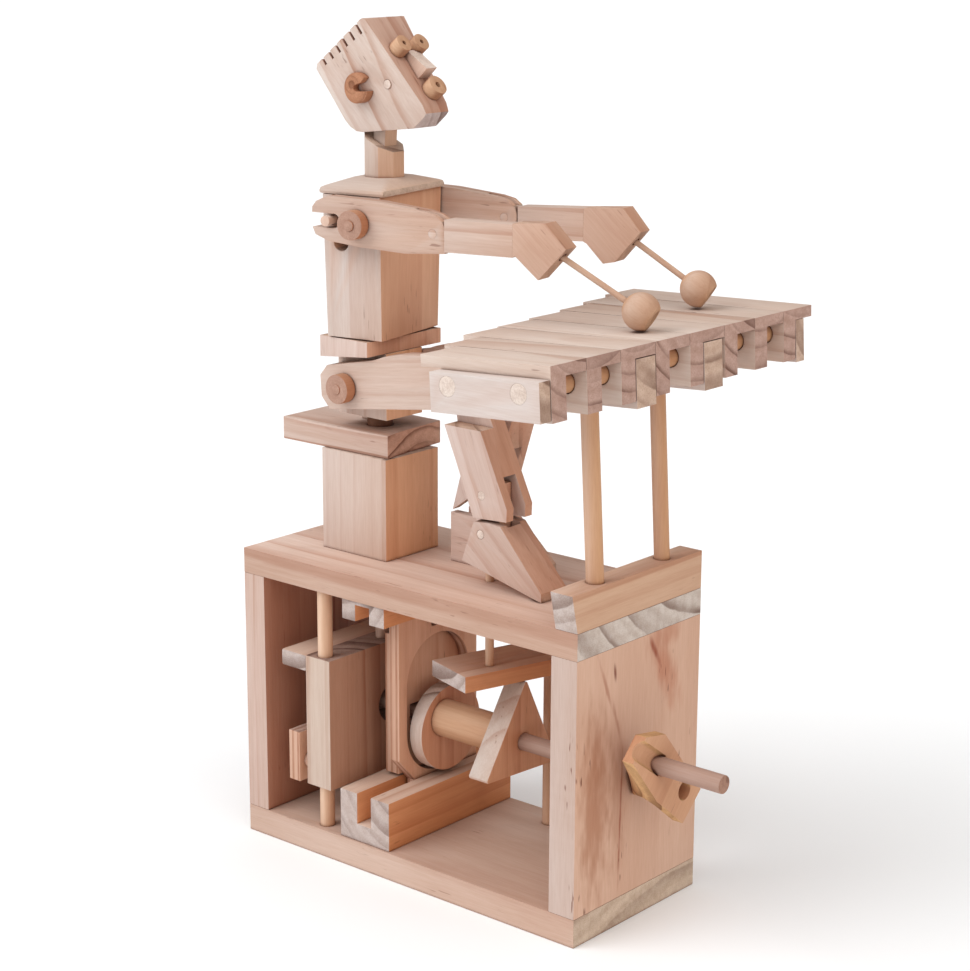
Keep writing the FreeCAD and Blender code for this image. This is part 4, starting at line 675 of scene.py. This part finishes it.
FLOOR_REACH = 60.0  # metres
FLOOR_TINT, FLOOR_ROUGHNESS = (0.96, 0.98, 1.0, 1.0), 0.9
SKY_TINT = (1.0, 0.95, 0.9, 1.0)
SKY_LIGHT, SKY_SEEN = 0.22, 0.9  # its light on the toy, and what is added where it is seen
LIGHTS = (
    # name, direction it comes from, spread in degrees, strength, tint
    ("key_light", (-0.5, -0.8, 0.75), 50.0, 1.65, (1.0, 1.0, 1.0)),
    ("top_light", (0.05, -0.15, 1.0), 110.0, 1.6, (1.0, 1.0, 1.0)),
    ("side_light", (0.9, -0.25, 0.35), 80.0, 1.0, (1.0, 0.93, 0.86)),
)
EYE = Vector((655.69, -756.67, 439.67)) * MM
AZIMUTH, ELEVATION, ROLL = (math.radians(angle) for angle in (40.42, 14.49, 0.23))
LENS, SENSOR_WIDTH = 84.63, 36.0  # mm
NEAREST_SEEN = 0.01  # metres


def lay_floor():
    """A plain pale floor that goes on far beyond the toy."""
    paint = bpy.data.materials.new("studio_floor")
    paint.use_nodes = True
    shader = paint.node_tree.nodes["Principled BSDF"]
    shader.inputs["Base Color"].default_value = FLOOR_TINT
    shader.inputs["Roughness"].default_value = FLOOR_ROUGHNESS
    mesh = bpy.data.meshes.new("floor")
    corners = [(x * FLOOR_REACH, y * FLOOR_REACH, 0)
               for x, y in ((-1, -1), (1, -1), (1, 1), (-1, 1))]
    mesh.from_pydata(corners, [], [(0, 1, 2, 3)])
    mesh.materials.append(paint)
    floor = bpy.data.objects.new("floor", mesh)
    bpy.context.collection.objects.link(floor)


def light_studio():
    """A dim even sky that looks white itself, and broad soft lights as from large panels."""
    world = bpy.data.worlds.new("studio")
    world.use_nodes = True
    bpy.context.scene.world = world
    sky = Bench(world.node_tree)
    backdrop = world.node_tree.nodes["Background"]
    backdrop.inputs["Color"].default_value = SKY_TINT
    straight = sky.node("ShaderNodeLightPath").outputs["Is Camera Ray"]
    sky.link(sky.math("MULTIPLY_ADD", straight, SKY_SEEN, SKY_LIGHT), backdrop.inputs["Strength"])
    for name, towards, spread, power, tint in LIGHTS:
        light = bpy.data.lights.new(name, "SUN")
        light.angle = math.radians(spread)
        light.energy = power
        light.color = tint
        holder = bpy.data.objects.new(name, light)
        holder.rotation_euler = Vector(towards).to_track_quat("Z", "Y").to_euler()
        bpy.context.collection.objects.link(holder)
    bpy.context.scene.view_settings.view_transform = "Standard"


def place_camera():
    """The camera looks along +Y, turned to -X by AZIMUTH and down by ELEVATION."""
    backward = Vector((math.sin(AZIMUTH) * math.cos(ELEVATION),
                       -math.cos(AZIMUTH) * math.cos(ELEVATION), math.sin(ELEVATION)))
    level_right = turned(math.degrees(AZIMUTH))
    level_up = backward.cross(level_right)
    right = level_right * math.cos(ROLL) + level_up * math.sin(ROLL)
    up = backward.cross(right)
    turn = Matrix((right, up, backward)).transposed().to_4x4()
    camera_data = bpy.data.cameras.new("camera")
    camera_data.sensor_fit = "HORIZONTAL"
    camera_data.sensor_width = SENSOR_WIDTH
    camera_data.lens = LENS
    camera_data.clip_start = NEAREST_SEEN
    camera = bpy.data.objects.new("camera", camera_data)
    camera.matrix_world = Matrix.Translation(EYE) @ turn
    bpy.context.collection.objects.link(camera)
    bpy.context.scene.camera = camera


lay_floor()
light_studio()
place_camera()
